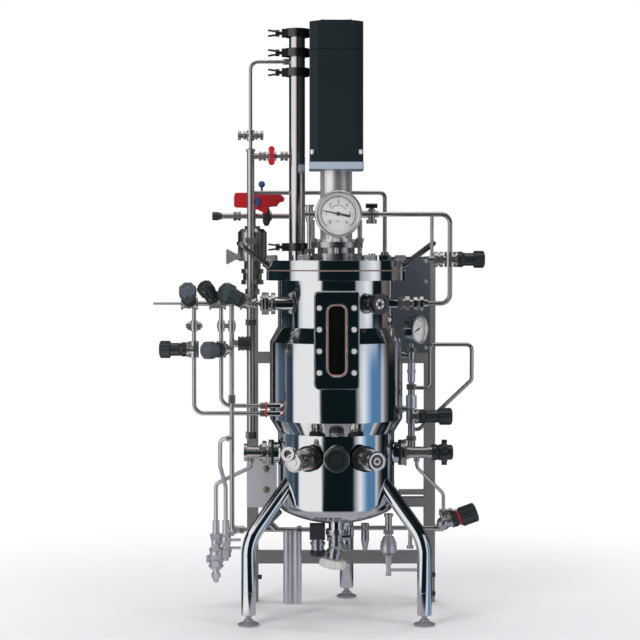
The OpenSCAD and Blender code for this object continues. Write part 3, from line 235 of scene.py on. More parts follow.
finishes = {
    "mirror": polished_steel("mirror_steel"),
    "cover": polished_steel("cover_steel", edge=0.0045),
    "screw": satin_steel("screw_steel", (0.9, 0.88, 0.89), 0.3, metal=0.5),
    "pale_cast": satin_steel("pale_casting", (0.76, 0.74, 0.78), 0.26, grain=200.0, metal=0.8),
    "buffed": polished_steel("buffed_steel", (0.7, 0.71, 0.72), 0.12, smear=0.1, stretch=(1, 1, 8)),
    "satin": satin_steel("satin_steel", (0.6, 0.6, 0.61), 0.2),
    "tube": satin_steel("drawn_tube", (0.66, 0.625, 0.615), 0.17, spread=0.1, metal=0.93),
    "cast": satin_steel("cast_fitting", (0.52, 0.51, 0.52), 0.3, grain=200.0, metal=0.8),
    "dark_steel": satin_steel("dark_steel", (0.34, 0.33, 0.335), 0.16),
    "smoked": satin_steel("smoked_steel", (0.12, 0.11, 0.115), 0.22),
    "column": satin_steel("column_tube", (0.8, 0.76, 0.75), 0.1, spread=0.06),
    "bright": satin_steel("bright_satin", (0.9, 0.88, 0.88), 0.24, spread=0.04, metal=0.85),
    "grey_plate": painted("grey_plate", (0.46, 0.46, 0.49), 0.5),
    "bolt": satin_steel("bolt_steel", (0.66, 0.65, 0.65), 0.2, metal=0.75),
    "fitting": satin_steel("fitting_steel", (0.76, 0.72, 0.69), 0.12),
    "brass": satin_steel("brass_screw", (0.4, 0.33, 0.2), 0.25),
    "motor": painted("motor_enamel", (0.0065, 0.013, 0.0155), 0.4, coat=0.0),
    "flange": painted("flange_enamel", (0.3, 0.35, 0.42), 0.4),
    "frame": painted("frame_enamel", (0.185, 0.185, 0.19), 0.45),
    "panel": painted("panel_enamel", (0.07, 0.08, 0.095), 0.5),
    "black": moulded("black_moulding", (0.009, 0.0125, 0.0145), 0.24, gloss=0.9),
    "clamp": clamp_rings("clamp_rings", plastic=(0.007, 0.009, 0.01), steel=(0.55, 0.52, 0.51), reach=0.112),
    "teal": moulded("teal_moulding", (0.015, 0.028, 0.03), 0.28, gloss=0.8),
    "slate": moulded("slate_moulding", (0.05, 0.06, 0.075), 0.28, gloss=0.8),
    "white": moulded("white_moulding", (0.58, 0.575, 0.56), 0.4),
    "red": rubbery("red_vinyl", (0.5, 0.006, 0.012), 0.3),
    "blue": moulded("blue_moulding", (0.02, 0.07, 0.2), 0.3),
    "seal": rubbery("pink_silicone", (0.34, 0.17, 0.155)),
    "gasket": rubbery("gasket_edge", (0.2, 0.12, 0.1)),
    "glass": clear_glass("clear_glass"),
    # the sight glass is tinted near black as painted shade, for the unlit inside of the vessel behind the pane
    "dark_glass": clear_glass("sight_glass", (0.1, 0.11, 0.11)),
    "dial": moulded("dial_enamel", (0.8, 0.78, 0.785), 0.3, grain=900.0, depth=0.03),
    "ink": moulded("dial_ink", (0.012, 0.012, 0.014), 0.4),
    "grey_ink": moulded("dial_grey_ink", (0.2, 0.165, 0.185), 0.4),
    "dial_red": moulded("dial_red_ink", (0.42, 0.04, 0.06), 0.4),
}

dress = {
    "mirror": "vessel_shell jacket_shell head_plate legs",
    "cover": "sight_glass_cover",
    "screw": "cap_screws",
    "bright": "coupling_lantern",
    "pale_cast": "steam_traps",
    "column": "condenser_column",
    "buffed": "gauge_cases baffles stirrer_shaft stirrer_blades sparger_tube",
    "smoked": "tri_clamps gauge_tap_handle",
    "satin": "seal_housing drain_valve filter_housing",
    "fitting": "port_fittings",
    "tube": "riser_pipe cooling_pipe head_steam_pipe gauge_manifold left_manifold right_manifold lower_pipes",
    "cast": "filter_tap_handle levelling_feet",
    "dark_steel": "lifting_handles",
    "bolt": "head_bolts",
    "motor": "motor_housing",
    "flange": "motor_flange",
    "frame": "service_frame",
    "panel": "frame_panel condensate_sensor",
    "black": "left_knob_2 left_knob_4 right_knob_top right_knob_middle right_knob_port "
             "right_knob_low valve_bonnets drain_side_wheel",
    "clamp": "port_caps",
    "teal": "left_knob_3",
    "slate": "left_knob_1 left_knob_5",
    "white": "drain_wheel",
    "red": "cooling_handle filter_lever",
    "blue": "filter_lever_caps",
    "seal": "sight_glass_gasket",
    "gasket": "head_gasket",
    "glass": "gauge_lenses",
    "dark_glass": "sight_glass_pane",
    "dial": "gauge_dials",
    "ink": "main_gauge_needle side_gauge_needle",
}
for finish, members in dress.items():
    for name in members.split():
        for slot in nodes[name].material_slots:
            slot.material = finishes[finish]


# ---- repeated fittings ----

class Pattern:
    """A Geometry Nodes tree with named sizes, whose last nodes are Realize Instances and Set Material."""

    def __init__(self, name, **sizes):
        self.tree = bpy.data.node_groups.new(name, "GeometryNodeTree")
        face = self.tree.interface
        face.new_socket("Geometry", in_out="INPUT", socket_type="NodeSocketGeometry")
        self.keys = {}
        for key, value in {**sizes, "Finish": None}.items():
            kind = {int: "NodeSocketInt", float: "NodeSocketFloat"}.get(type(value), "NodeSocketMaterial")
            socket = face.new_socket(key, in_out="INPUT", socket_type=kind)
            if value is not None:
                socket.default_value = value
            self.keys[key] = socket.identifier
        face.new_socket("Geometry", in_out="OUTPUT", socket_type="NodeSocketGeometry")
        self.given = self.tree.nodes.new("NodeGroupInput")

    def __getitem__(self, key):
        return self.given.outputs[key]

    def plug(self, value, socket):
        """Joins a node's output to a socket, or gives the socket a plain value."""
        if isinstance(value, bpy.types.NodeSocket):
            self.tree.links.new(value, socket)
        else:
            socket.default_value = value

    def node(self, kind, settings=None, **values):
        """Adds a node: its settings, then what its sockets read. A list is several links to one socket."""
        node = self.tree.nodes.new(kind)
        for key, value in (settings or {}).items():
            setattr(node, key, value)
        for key, value in values.items():
            for part in value if isinstance(value, list) else [value]:
                self.plug(part, node.inputs[key.replace("_", " ")])
        return node.outputs[0]

    def maths(self, operation, *values):
        node = self.tree.nodes.new("ShaderNodeMath")
        node.operation = operation
        for value, socket in zip(values, node.inputs):
            self.plug(value, socket)
        return node.outputs[0]

    def triple(self, x, y, z):
        return self.node("ShaderNodeCombineXYZ", X=x, Y=y, Z=z)

    def attribute(self, key):
        return self.node("GeometryNodeInputNamedAttribute", {"data_type": "FLOAT_VECTOR"}, Name=key)

    def hoop(self, radius, fatness, sides):
        """A ring of round cord: its middle line's radius, the cord's radius and the ring's number of sides."""
        ring = self.node("GeometryNodeCurvePrimitiveCircle", Resolution=sides, Radius=radius)
        cord = self.node("GeometryNodeCurvePrimitiveCircle", Resolution=8, Radius=fatness)
        return self.node("GeometryNodeCurveToMesh", Curve=ring, Profile_Curve=cord)

    def outward(self):
        """The turn that points a copy's X away from the middle."""
        return self.node("FunctionNodeAlignRotationToVector", {"axis": "X", "pivot_axis": "Z"},
                         Vector=self.node("GeometryNodeInputPosition"))

    def at_spots(self, shape):
        """The shape at each of the given points, with its +Z along the point's way and to the point's size."""
        along_way = self.node("FunctionNodeAlignRotationToVector", {"axis": "Z"}, Vector=self.attribute("way"))
        return self.node("GeometryNodeInstanceOnPoints", Points=self["Geometry"], Instance=shape,
                         Rotation=along_way, Scale=self.attribute("size"))

    def end(self, shape):
        """Ends the tree with a shape."""
        real = self.node("GeometryNodeRealizeInstances", Geometry=shape)
        done = self.node("GeometryNodeSetMaterial", Geometry=real, Material=self["Finish"])
        self.tree.links.new(done, self.tree.nodes.new("NodeGroupOutput").inputs[0])
        return self

    def make(self, name, body, finish, slot, spots=((0, 0, 0, 0, 0, 1, 1, 1, 1),), place=Matrix(), **sizes):
        """Runs the tree, and makes its result a plain mesh that rides on a body. A spot is a place in mm, a way,
        and a size in metres."""
        points = bpy.data.meshes.new(name + "_spots")
        points.from_pydata([Vector(row[:3]) / 1000 for row in spots], [], [])
        for key, first in (("way", 3), ("size", 6)):
            rows = points.attributes.new(key, "FLOAT_VECTOR", "POINT").data
            for row, values in zip(rows, spots):
                row.vector = values[first:first + 3]
        carrier = bpy.data.objects.new(name + "_spots", points)
        bpy.context.scene.collection.objects.link(carrier)
        run = carrier.modifiers.new("pattern", "NODES")
        run.node_group = self.tree
        for key, value in {**sizes, "Finish": finishes[finish]}.items():
            run[self.keys[key]] = value
        bpy.context.view_layer.update()
        seen = carrier.evaluated_get(bpy.context.evaluated_depsgraph_get())
        mesh = bpy.data.meshes.new_from_object(seen)
        carrier.modifiers.remove(run)
        bpy.data.objects.remove(carrier)
        return settle(name, mesh, body, finish, place)


def settle(name, mesh, body, finish, place=Matrix()):
    """Places and welds a mesh, and makes it a piece that rides on a body."""
    mesh.transform(place)
    work = bmesh.new()
    work.from_mesh(mesh)
    bmesh.ops.remove_doubles(work, verts=work.verts, dist=WELD)
    bmesh.ops.recalc_face_normals(work, faces=work.faces)
    work.to_mesh(mesh)
    work.free()
    mesh.materials.clear()
    mesh.materials.append(finishes[finish])
    for key in ("way", "size"):
        if key in mesh.attributes:
            mesh.attributes.remove(mesh.attributes[key])
    piece = bpy.data.objects.new(name, mesh)
    bpy.context.scene.collection.objects.link(piece)
    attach(piece, body)
    return piece


INK = 0.00016       # how thick the print on a dial is, in metres
BAND_INK = 0.00014  # and its bands, so that the marks lie over them


def seal_pattern():
    """O-rings: a round ring of outer radius 1, which each spot's size scales."""
    p = Pattern("seal_ring", Sides=40, Fatness=0.12)
    return p.end(p.at_spots(p.hoop(p.maths("SUBTRACT", 1.0, p["Fatness"]), p["Fatness"], p["Sides"])))


def thread_pattern():
    """Screw threads: a ridge wound round a stud, as long as the stud shows."""
    p = Pattern("thread", Radius=0.004, Length=0.02, Pitch=0.00125)
    turns = p.maths("DIVIDE", p["Length"], p["Pitch"])
    coil = p.node("GeometryNodeCurveSpiral", Resolution=20, Rotations=turns, Start_Radius=p["Radius"],
                  End_Radius=p["Radius"], Height=p["Length"])
    ridge = p.node("GeometryNodeCurvePrimitiveCircle", Resolution=4, Radius=p.maths("MULTIPLY", p["Pitch"], 0.34))
    return p.end(p.at_spots(p.node("GeometryNodeCurveToMesh", Curve=coil, Profile_Curve=ridge, Fill_Caps=True)))


def screw_pattern():
    """Domed screw heads with a flat washer under each, for spots sized by radius and height."""
    p = Pattern("screw_head", Sides=24)
    dome = p.node("GeometryNodeMeshUVSphere", Segments=p["Sides"], Rings=10, Radius=0.8)
    washer = p.node("GeometryNodeMeshCylinder", Vertices=p["Sides"], Radius=1.0, Depth=0.5)
    return p.end(p.at_spots(p.node("GeometryNodeJoinGeometry", Geometry=[dome, washer])))


def tick_pattern():
    """The marks of a dial: long ones and short ones round most of a circle."""
    p = Pattern("dial_ticks", Radius=0.03, Long=0.004, Short=0.002, Width=0.0004, Steps=7, Parts=5, Start=0.0,
                Sweep=1.0)
    marks = []
    finer = p.maths("ADD", p.maths("MULTIPLY", p.maths("SUBTRACT", p["Steps"], 1), p["Parts"]), 1)
    for count, length, share in ((p["Steps"], p["Long"], 1.0), (finer, p["Short"], 0.55)):
        middle = p.maths("SUBTRACT", p["Radius"], p.maths("MULTIPLY", length, 0.5))
        arc = p.node("GeometryNodeCurveArc", Resolution=count, Radius=middle, Start_Angle=p["Start"],
                     Sweep_Angle=p["Sweep"])
        bar = p.node("GeometryNodeMeshCube", Size=p.triple(length, p.maths("MULTIPLY", p["Width"], share), INK))
        marks.append(p.node("GeometryNodeInstanceOnPoints", Points=arc, Instance=bar, Rotation=p.outward()))
    return p.end(p.node("GeometryNodeJoinGeometry", Geometry=marks))


def band_pattern():
    """A flat printed band along part of a circle."""
    p = Pattern("dial_band", Radius=0.03, Width=0.0006, Start=0.0, Sweep=1.0)
    arc = p.node("GeometryNodeCurveArc", Resolution=64, Radius=p["Radius"], Start_Angle=p["Start"],
                 Sweep_Angle=p["Sweep"])
    flat = p.node("GeometryNodeCurvePrimitiveQuadrilateral", Width=p["Width"], Height=BAND_INK)
    return p.end(p.node("GeometryNodeCurveToMesh", Curve=arc, Profile_Curve=flat, Fill_Caps=True))


def rib_pattern():
    """Ribs along a round grip, for spots sized by radius and length."""
    p = Pattern("grip_ribs", Count=24, Deep=0.07, Wide=0.08)
    ring = p.node("GeometryNodeCurvePrimitiveCircle", Resolution=p["Count"], Radius=1.0)
    bar = p.node("GeometryNodeMeshCube", Size=p.triple(p["Deep"], p["Wide"], 1.0))
    return p.end(p.at_spots(
        p.node("GeometryNodeInstanceOnPoints", Points=ring, Instance=bar, Rotation=p.outward())))


def hub_pattern():
    """The middle of a hand wheel's face: a raised ring round a low dome."""
    p = Pattern("wheel_hub", Ring=0.62, Fatness=0.06, Dome=0.3)
    raised = p.hoop(p["Ring"], p["Fatness"], 40)
    dome = p.node("GeometryNodeMeshUVSphere", Segments=24, Rings=10, Radius=p["Dome"])
    low = p.node("GeometryNodeTransform", Geometry=dome, Scale=(1.0, 1.0, 0.3))
    return p.end(p.at_spots(p.node("GeometryNodeJoinGeometry", Geometry=[raised, low])))


seals, threads, screws = seal_pattern(), thread_pattern(), screw_pattern()
ticks, bands, ribs, hubs = tick_pattern(), band_pattern(), rib_pattern(), hub_pattern()


# ---- single solids ----

def finished(name, work, body, finish):
    """Makes a worked mesh a piece."""
    mesh = bpy.data.meshes.new(name)
    work.to_mesh(mesh)
    work.free()
    return settle(name, mesh, body, finish)


def ease_edges(work, width):
    bmesh.ops.bevel(work, geom=list(work.edges), offset=width, segments=2, profile=0.5, affect="EDGES")


def slab(name, low, high, edge, finish):
    """A fixed plate between two corners, with its edges rounded, all in mm."""
    work = bmesh.new()
    bmesh.ops.create_cube(work, size=1.0)
    size = [b - a for a, b in zip(low, high)]
    for vert in work.verts:
        vert.co = Vector([(a + n * (c + 0.5)) / 1000 for a, n, c in zip(low, size, vert.co)])
    ease_edges(work, edge / 1000)
    return finished(name, work, "vessel", finish)


def cut_plate(name, at, outline, thick, body, finish):
    """An upright plate that faces the front: its outline in mm to the right and up of a point."""
    work = bmesh.new()
    sides = [[work.verts.new((Vector(at) + Vector((x, y, z))) / 1000) for x, z in outline] for y in (0, thick)]
    for face in sides:
        work.faces.new(face)
    for i in range(len(outline)):
        work.faces.new((sides[0][i - 1], sides[0][i], sides[1][i], sides[1][i - 1]))
    ease_edges(work, 0.0008)
    return finished(name, work, body, finish)


def turned(work, at, way, steps, sides=40):
    """Adds a lathe-turned solid: its axis from a point along a way, and its steps, each a radius and how far along
    the axis it is, all in mm. Both ends are closed."""
    axis = Vector(way).normalized()
    turn = axis.to_track_quat("Z", "Y").to_matrix()
    hoops = []
    for radius, far in steps:
        hoops.append([work.verts.new((Vector(at) + axis * far + turn @ Vector(
            (radius * math.cos(2 * math.pi * i / sides), radius * math.sin(2 * math.pi * i / sides), 0))) / 1000)
            for i in range(sides)])
    for low, high in zip(hoops, hoops[1:]):
        for i in range(sides):
            work.faces.new((low[i - 1], low[i], high[i], high[i - 1]))
    work.faces.new(hoops[0])
    work.faces.new(hoops[-1])


def lathe(name, finish, slot, *solids):
    """A fixed piece of one or more lathe-turned solids. Each says what turned() reads."""
    work = bmesh.new()
    for solid in solids:
        turned(work, *solid)
    return finished(name, work, "vessel", finish)


def tail(name, body, place, lean, height, long, wide):
    """The heavy tail of a gauge needle, opposite its pointer."""
    work = bmesh.new()
    bmesh.ops.create_cube(work, size=1.0)
    for vert in work.verts:
        x, y, z = vert.co + Vector((0.5, 0, 0))
        vert.co = Vector((x * long, y * wide * (0.7 + 0.3 * x), height + z * 0.001))
    work.transform(place @ Matrix.Rotation(math.radians(lean), 4, "Z"))
    return finished(name, work, body, "ink")


# ---- places ----

RIGHT, LEFT, FRONT, UP = (1, 0, 0), (-1, 0, 0), (0, -1, 0), (0, 0, 1)
joints = {joint["child"]: joint for joint in frame["record"]["behaviour"]["joints"]}


def mm(x, y, z):
    """A shift in millimetres."""
    return Matrix.Translation(Vector((x, y, z)) / 1000)


def heading(degrees):
    """The level way that points so many degrees right of the front."""
    angle = math.radians(degrees)
    return Vector((math.sin(angle), -math.cos(angle), 0))


def round_axis(radius, degrees, z):
    """A point at a radius from the vessel's axis, in mm, with its angle counted from the right."""
    angle = math.radians(degrees)
    return radius * math.cos(angle), radius * math.sin(angle), z


def on_joint(body, far):
    """A point in mm, so far along a body's joint axis, and the axis's way."""
    way = Vector(joints[body]["axis"])
    return Vector(joints[body]["pos_m"]) * 1000 + way * far, way


def spot(at, way, radius, height):
    """A spot for Pattern.make, as wide as it is deep: its place in mm, and its radius and height in metres."""
    return (*at, *way, radius, radius, height)


LOWER_PORTS, UPPER_PORTS = Vector((0, 0, 285)), Vector((0, 0, 545))  # the vessel's middle at the ports' heights
PROBE, SAMPLER, UPPER_CAP = heading(25), heading(-25), heading(35)   # where the ports' fittings point
PORT_FACE = 112         # how far from the middle the lower ports' faces are
POST_FRONT = 120        # the y of the service frame's front
FACE_FRONT = Matrix.Rotation(math.radians(90), 4, "X")  # turns +Z to the front

# the back of each gauge's case, with +Z out of its face
main_gauge = mm(3, -50, 697) @ FACE_FRONT
side_gauge = mm(138, 2, 498) @ Matrix.Rotation(math.radians(53), 4, "Z") @ FACE_FRONT @ mm(0, 0, -10)


# ---- gauges ----

def words(name, text, height, at, place):
    """The mesh of a thin printed word, centred at a point of a dial's plane."""
    curve = bpy.data.curves.new(name, "FONT")
    curve.body, curve.size, curve.extrude = text, height, INK / 2
    curve.align_x, curve.align_y = "CENTER", "CENTER"
    carrier = bpy.data.objects.new(name + "_type", curve)
    bpy.context.scene.collection.objects.link(carrier)
    bpy.context.view_layer.update()
    mesh = bpy.data.meshes.new_from_object(carrier.evaluated_get(bpy.context.evaluated_depsgraph_get()))
    bpy.data.objects.remove(carrier)
    mesh.transform(Matrix.Translation((*at, 0)))
    mesh.transform(place)
    return mesh


def dial(name, place, radius, numbers, print_height):
    """The printed scale of a gauge: two rows of marks, an arc, plain numbers and a coloured arc."""
    start, sweep = math.radians(225), math.radians(-270)
    red_start, red_sweep = math.radians(150), math.radians(-120)
    number_ring, number_height = radius * 0.68, radius * 0.3
    unit_low, unit_height = radius * 0.42, radius * 0.17
    face = place @ Matrix.Translation((0, 0, print_height))
    ticks.make(name + "_ticks", "vessel", "ink", "needle_black", place=face, Radius=radius, Long=radius * 0.15,
               Short=radius * 0.08, Width=radius * 0.022, Steps=len(numbers), Parts=5, Start=start, Sweep=sweep)
    bands.make(name + "_scale", "vessel", "grey_ink", "needle_black", place=face, Radius=radius, Width=radius * 0.05,
               Start=start, Sweep=sweep)
    bands.make(name + "_arc", "vessel", "dial_red", "red_plastic", place=face, Radius=radius * 0.5,
               Width=radius * 0.035, Start=red_start, Sweep=red_sweep)
    joined = bmesh.new()
    for i, number in enumerate(numbers):
        a = start + sweep * i / (len(numbers) - 1)
        at = (number_ring * math.cos(a), number_ring * math.sin(a))
        joined.from_mesh(words(name + "_word", number, number_height, at, face))
    joined.from_mesh(words(name + "_word", "bar", unit_height, (0, -unit_low), face))
    finished(name + "_numbers", joined, "vessel", "ink")


dial("main_dial", main_gauge, radius=0.0292, numbers="0123456", print_height=0.02008)
dial("side_dial", side_gauge, radius=0.0178, numbers="01234", print_height=0.01208)


# ---- seals, threads and screws ----

seals.make("red_rings", "vessel", "red", "red_plastic", [
    spot((-119.5, -60, z), RIGHT, 0.0072, 0.012) for z in (358, 371)])
seals.make("pink_seals", "vessel", "seal", "silicone", [spot((160.5, 0, 285), RIGHT, 0.0112, 0.02)])
threads.make("stud_threads", "vessel", "bolt", "satin_steel", [
    spot(round_axis(41, a, 657.2), UP, 1, 1) for a in (0, 90, 180, -90)],
    Radius=0.0038, Length=0.0305, Pitch=0.0014)
threads.make("foot_threads", "vessel", "bolt", "satin_steel", [
    spot(round_axis(172, a, 10.5), UP, 1, 1) for a in (210, 330, 83)], Radius=0.0048, Length=0.0068, Pitch=0.0015)
screws.make("panel_screws", "vessel", "bolt", "satin_steel", [
    spot((x, POST_FRONT - 3, z), FRONT, 0.0038, 0.0022) for x in (87, 162) for z in (461, 500, 540, 580, 617)])

# rounded rims on the gauges
seals.make("main_bezel", "vessel", "bright", "polished_steel", [spot((0, 0, 27.2), UP, 0.0398, 0.034)],
           main_gauge, Fatness=0.08)
seals.make("side_bezel", "vessel", "bright", "polished_steel", [spot((0, 0, 19.2), UP, 0.0248, 0.022)],
           side_gauge, Fatness=0.08)


# ---- hand wheels and valves ----

# the face of each hand wheel: its body, how far the face stands along its joint's axis, its radius in mm, its finish
wheels = (
    ("left_knob_1", 50.3, 15, "slate"), ("left_knob_2", 52.3, 14, "black"), ("left_knob_3", 62.3, 17, "teal"),
    ("left_knob_4", 58.3, 15, "black"), ("left_knob_5", 50.3, 15, "slate"), ("knob_top", 28.3, 15, "black"),
    ("knob_middle", 40.3, 15, "black"), ("knob_low", 61.3, 17, "black"), ("knob_port", 22.3, 13, "black"),
    ("drain_wheel", 40.3, 24, "white"), ("drain_side_wheel", 6.3, 13, "black"))
for body, far, radius, finish in wheels:
    slot = "white_plastic" if finish == "white" else "black_plastic"
    hubs.make(body + "_hub", body, finish, slot, [spot(*on_joint(body, far), radius / 1000, radius / 1000)])

# the ribbed grip of each valve bonnet: its wheel's body, how far it stands along the joint's axis, its radius
bonnets = (
    ("left_knob_1", 18, 0.0119), ("left_knob_2", 22, 0.0119), ("left_knob_3", 26, 0.0119),
    ("left_knob_4", 18, 0.0119), ("left_knob_5", 20, 0.0119), ("knob_top", -12, 0.0129),
    ("knob_middle", -12, 0.0119), ("knob_low", 22, 0.0129))
ribs.make("bonnet_grips", "vessel", "black", "black_plastic", [
    spot(*on_joint(body, far), radius, 0.006) for body, far, radius in bonnets], Count=30)
seals.make("knob_low_ring", "vessel", "red", "red_plastic", [spot(*on_joint("knob_low", 29.6), 0.0142, 0.016)])


# ---- gas line: its disc filter, and the lever with its lug and pivot cap ----

lathe("gas_disc", "teal", "black_plastic",
      ((-131, 130, 698), RIGHT, [(11, 0), (17.5, 3), (17.5, 10), (11, 13)]))
lever = cut_plate("filter_lever_skin", (-150, 97.4, 724), (
    (0, 14), (10, 16), (46, 16), (52, 12), (59, 5), (57, -1), (49, -2), (45, -9.5), (30, -10), (26, -24), (18, -18),
    (9, -14), (0, -13.2), (-10, -12), (-29, -11.4), (-31.6, -9), (-31.6, 9), (-29, 15), (-10, 15)), 8.6,
    "filter_lever", "red")
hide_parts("filter_lever")
cut_plate("filter_lever_pin", (-138.5, 94, 723), (
    (3, 8), (0, 9.5), (-3, 8), (-4, 4), (-4, -4), (-3, -8), (0, -9.5), (3, -8), (4, -4), (4, 4)), 4,
    "filter_lever", "blue")


# ---- fittings of the ports, the gauges and the steam traps ----

lathe("union_rings", "fitting", "satin_steel", ((130.5, -42, 545), RIGHT, [
    (8, 0), (12, 1), (12, 8), (9, 9), (9, 11), (13, 12), (13, 18), (8, 19), (7, 26)]))
lathe("gauge_line_sleeves", "bright", "satin_steel",
      ((131, 7, 361), UP, [(8, 0), (9.4, 1), (9.4, 22), (8, 23)]),
      ((131, 7, 407), UP, [(5.4, 0), (6.6, 1), (6.6, 16), (8, 17), (8, 20), (6.6, 21), (6.6, 33), (5.4, 34)]))
lathe("probe_end", "fitting", "satin_steel", (LOWER_PORTS + PROBE * 152, PROBE, [
    (16, 0), (17, 1), (17, 5), (14.5, 6), (9, 6), (8.5, 5), (5, 5), (4.5, 6.2), (1, 6.4)]))
lathe("front_cap", "black", "black_plastic", ((0, -112.4, 285), FRONT, [
    (21.3, 0), (21.3, 5), (19, 5.6), (19, 9.4), (21, 10), (21, 14.6), (18.4, 16.4), (15, 16.4), (14.6, 15.4),
    (10, 15.4), (9.6, 16.4), (1, 16.8)]))
lathe("front_cap_rim", "fitting", "satin_steel",
      ((0, -111.6, 285), FRONT, [(21, 0), (22.2, 0.4), (22.2, 1.6), (21, 2)]))
tail("main_needle_tail", "main_needle", main_gauge, lean=-12, height=0.0212, long=0.0205, wide=0.0042)

# the steam traps' nuts: x and y of the trap, the nut's foot, its radius and its length, all in mm. Then the plugs.
trap_nuts = (
    (-209, 0, 84, 13, 6), (-209, 0, 112, 12, 6), (-209, 0, 136, 10.5, 7), (-192, 0, 110, 10.5, 7),
    (-192, 0, 137, 9.5, 6), (92, 20, 100, 9, 6), (92, 20, 139, 9, 7))
trap_plugs = (
    ((-209, 0, 99), LEFT), ((-209, 0, 121), FRONT), ((-192, 0, 126), FRONT), ((-209, 0, 92), FRONT))
lathe("trap_nuts", "pale_cast", "satin_steel",
      *(((x, y, low), UP, [(radius - 1, 0), (radius, 0.8), (radius, long - 0.8), (radius - 1, long)], 6)
        for x, y, low, radius, long in trap_nuts),
      *((at, way, [(5, 6), (5, 12), (7, 12.5), (7, 16), (5.5, 17)], 6) for at, way in trap_plugs))

# the cover over the two drain lines
lathe("drain_cover_tubes", "pale_cast", "satin_steel",
      *(((x, 0, 20.3), UP, [(7.4, 0), (8, 0.6), (8, 127), (7.4, 127.6)]) for x in (-84, -68)))
slab("drain_cover_back", (-91, -3, 20.5), (-61, 6, 149), 1.5, "pale_cast")

# the upper cap's ring, face and star, and the face of the probe's end
cap_side = heading(35 + 90)
lathe("upper_cap_ring", "smoked", "satin_steel", (UPPER_PORTS + UPPER_CAP * 123, UPPER_CAP, [
    (17.1, 0), (17.6, 0.6), (17.6, 5.4), (16.6, 6.4), (11, 6.4), (10.2, 5.4), (9.9, 1.4)]))
lathe("upper_cap_disc", "buffed", "satin_steel", (UPPER_PORTS + UPPER_CAP * 124.5, UPPER_CAP, [
    (9.4, 0), (9.4, 1.6), (8.8, 2.2), (3.4, 2.2), (3, 1.4)]))
lathe("upper_cap_star", "smoked", "satin_steel",
      (UPPER_PORTS + UPPER_CAP * 126, UPPER_CAP, [(3.2, 0), (3.2, 2.2), (2.6, 2.8)], 6),
      *((UPPER_PORTS + UPPER_CAP * 126.6, cap_side * math.cos(a) + Vector(UP) * math.sin(a), [(1.3, 2), (1, 8)], 8)
        for a in (i * math.tau / 5 for i in range(5))))
probe_face = LOWER_PORTS + PROBE * 157.4
lathe("probe_face", "smoked", "satin_steel",
      (probe_face, PROBE, [(11.4, 0), (11.4, 0.7), (10.8, 1.1), (6.6, 1.1), (6, 0.5)]),
      (probe_face, PROBE, [(3.4, 0), (3.4, 1.2), (2.6, 1.6)]))

# the sampling valve's end, and its outlet, with a black disc in its mouth as painted shade of the bore
outlet, outlet_way = Vector((-14, -10, 297)) + SAMPLER * 144, Vector((-0.4, -0.9, 0.1)).normalized()
lathe("sample_end", "buffed", "satin_steel", (LOWER_PORTS + SAMPLER * 168.6, SAMPLER, [
    (14.4, 0), (14.9, 0.6), (14.9, 3.2), (14, 4.2), (11.6, 4.2), (11, 3.2), (7, 3.2), (6.4, 4.2), (1, 4.6)]))
lathe("sample_outlet", "fitting", "satin_steel", (outlet + outlet_way * 10.8, outlet_way, [
    (10.4, 0), (12.6, 0.8), (12.6, 5), (11.8, 5.8), (8.6, 5.8), (8.6, -4)]))
# a black disc in the outlet's mouth: painted shade where the bore is
lathe("sample_bore_shade", "black", "black_plastic",
      (outlet + outlet_way * 11, outlet_way, [(6.4, 0), (6.4, 1.4), (6, 1.6)]))

# rings on the upper left union and on the sampling valve, each with how far out it is and its radius
seals.make("fitting_rings", "vessel", "fitting", "satin_steel", [
    *(spot((-106 - far, -60, 545), LEFT, radius, 0.012)
      for far, radius in ((3, 0.0186), (14.5, 0.0192), (20, 0.0192))),
    *(spot(LOWER_PORTS + SAMPLER * (PORT_FACE + far), SAMPLER, radius, 0.012)
      for far, radius in ((19.5, 0.0178), (26.5, 0.0176), (50, 0.0176), (56, 0.0172)))], Fatness=0.07)


# ---- fittings of the service frame and the motor ----

for i, (x, z) in enumerate(((177, 50), (177, 16), (-137, 46))):
    slab("post_clip_%d" % i, (x - 3, POST_FRONT - 4, z - 4), (x + 4, POST_FRONT + 2, z + 4), 1.5,
         "black")
slab("post_plate", (-160.4, 118.2, 172), (-106, 119.8, 268.6), 0.6, "grey_plate")
slab("right_post_cap", (159.4, 119.4, 623), (180.6, 140.6, 625.6), 0.8, "black")
screws.make("plate_screws", "vessel", "brass", "satin_steel", [
    (-125, POST_FRONT - 3, z, *FRONT, 0.0052, 0.0058, 0.003) for z in (205, 243)])
screws.make("cap_plate_screws", "vessel", "bolt", "satin_steel", [
    spot((x, y, 1029.4), UP, 0.0028, 0.0018) for x in (-24, 24) for y in (-24, 24)])


# ---- floor, light and camera ----

# what metal mirrors round the object: shades, and where each stands, in degrees from the front and + to the
# right, for the surround's low, high and top bands
shades = {
    "black": (0.004, 0.01, 0.012), "navy": (0.012, 0.024, 0.034), "slate": (0.035, 0.065, 0.1),
    "steel_blue": (0.09, 0.14, 0.2), "blue": (0.1, 0.24, 0.43), "sky": (0.42, 0.6, 0.83),
    "lavender": (0.4, 0.42, 0.48), "pale": (0.66, 0.68, 0.73), "white": (0.97, 0.97, 0.98),
    "smoke": (0.07, 0.065, 0.065), "umber": (0.2, 0.175, 0.16), "table": (0.4, 0.39, 0.44)}
low_surround = (
    (-180, "black"), (-150, "black"), (-146, "lavender"), (-138, "black"), (-128, "black"), (-122, "lavender"),
    (-112, "steel_blue"), (-84, "slate"), (-78, "navy"), (-74, "white"), (-28, "white"), (-25, "black"),
    (31, "black"), (37, "lavender"), (46, "white"), (53, "sky"), (61, "blue"), (78, "blue"), (82, "pale"),
    (90, "umber"), (98, "black"), (118, "black"), (122, "lavender"), (128, "smoke"), (140, "black"), (180, "black"))
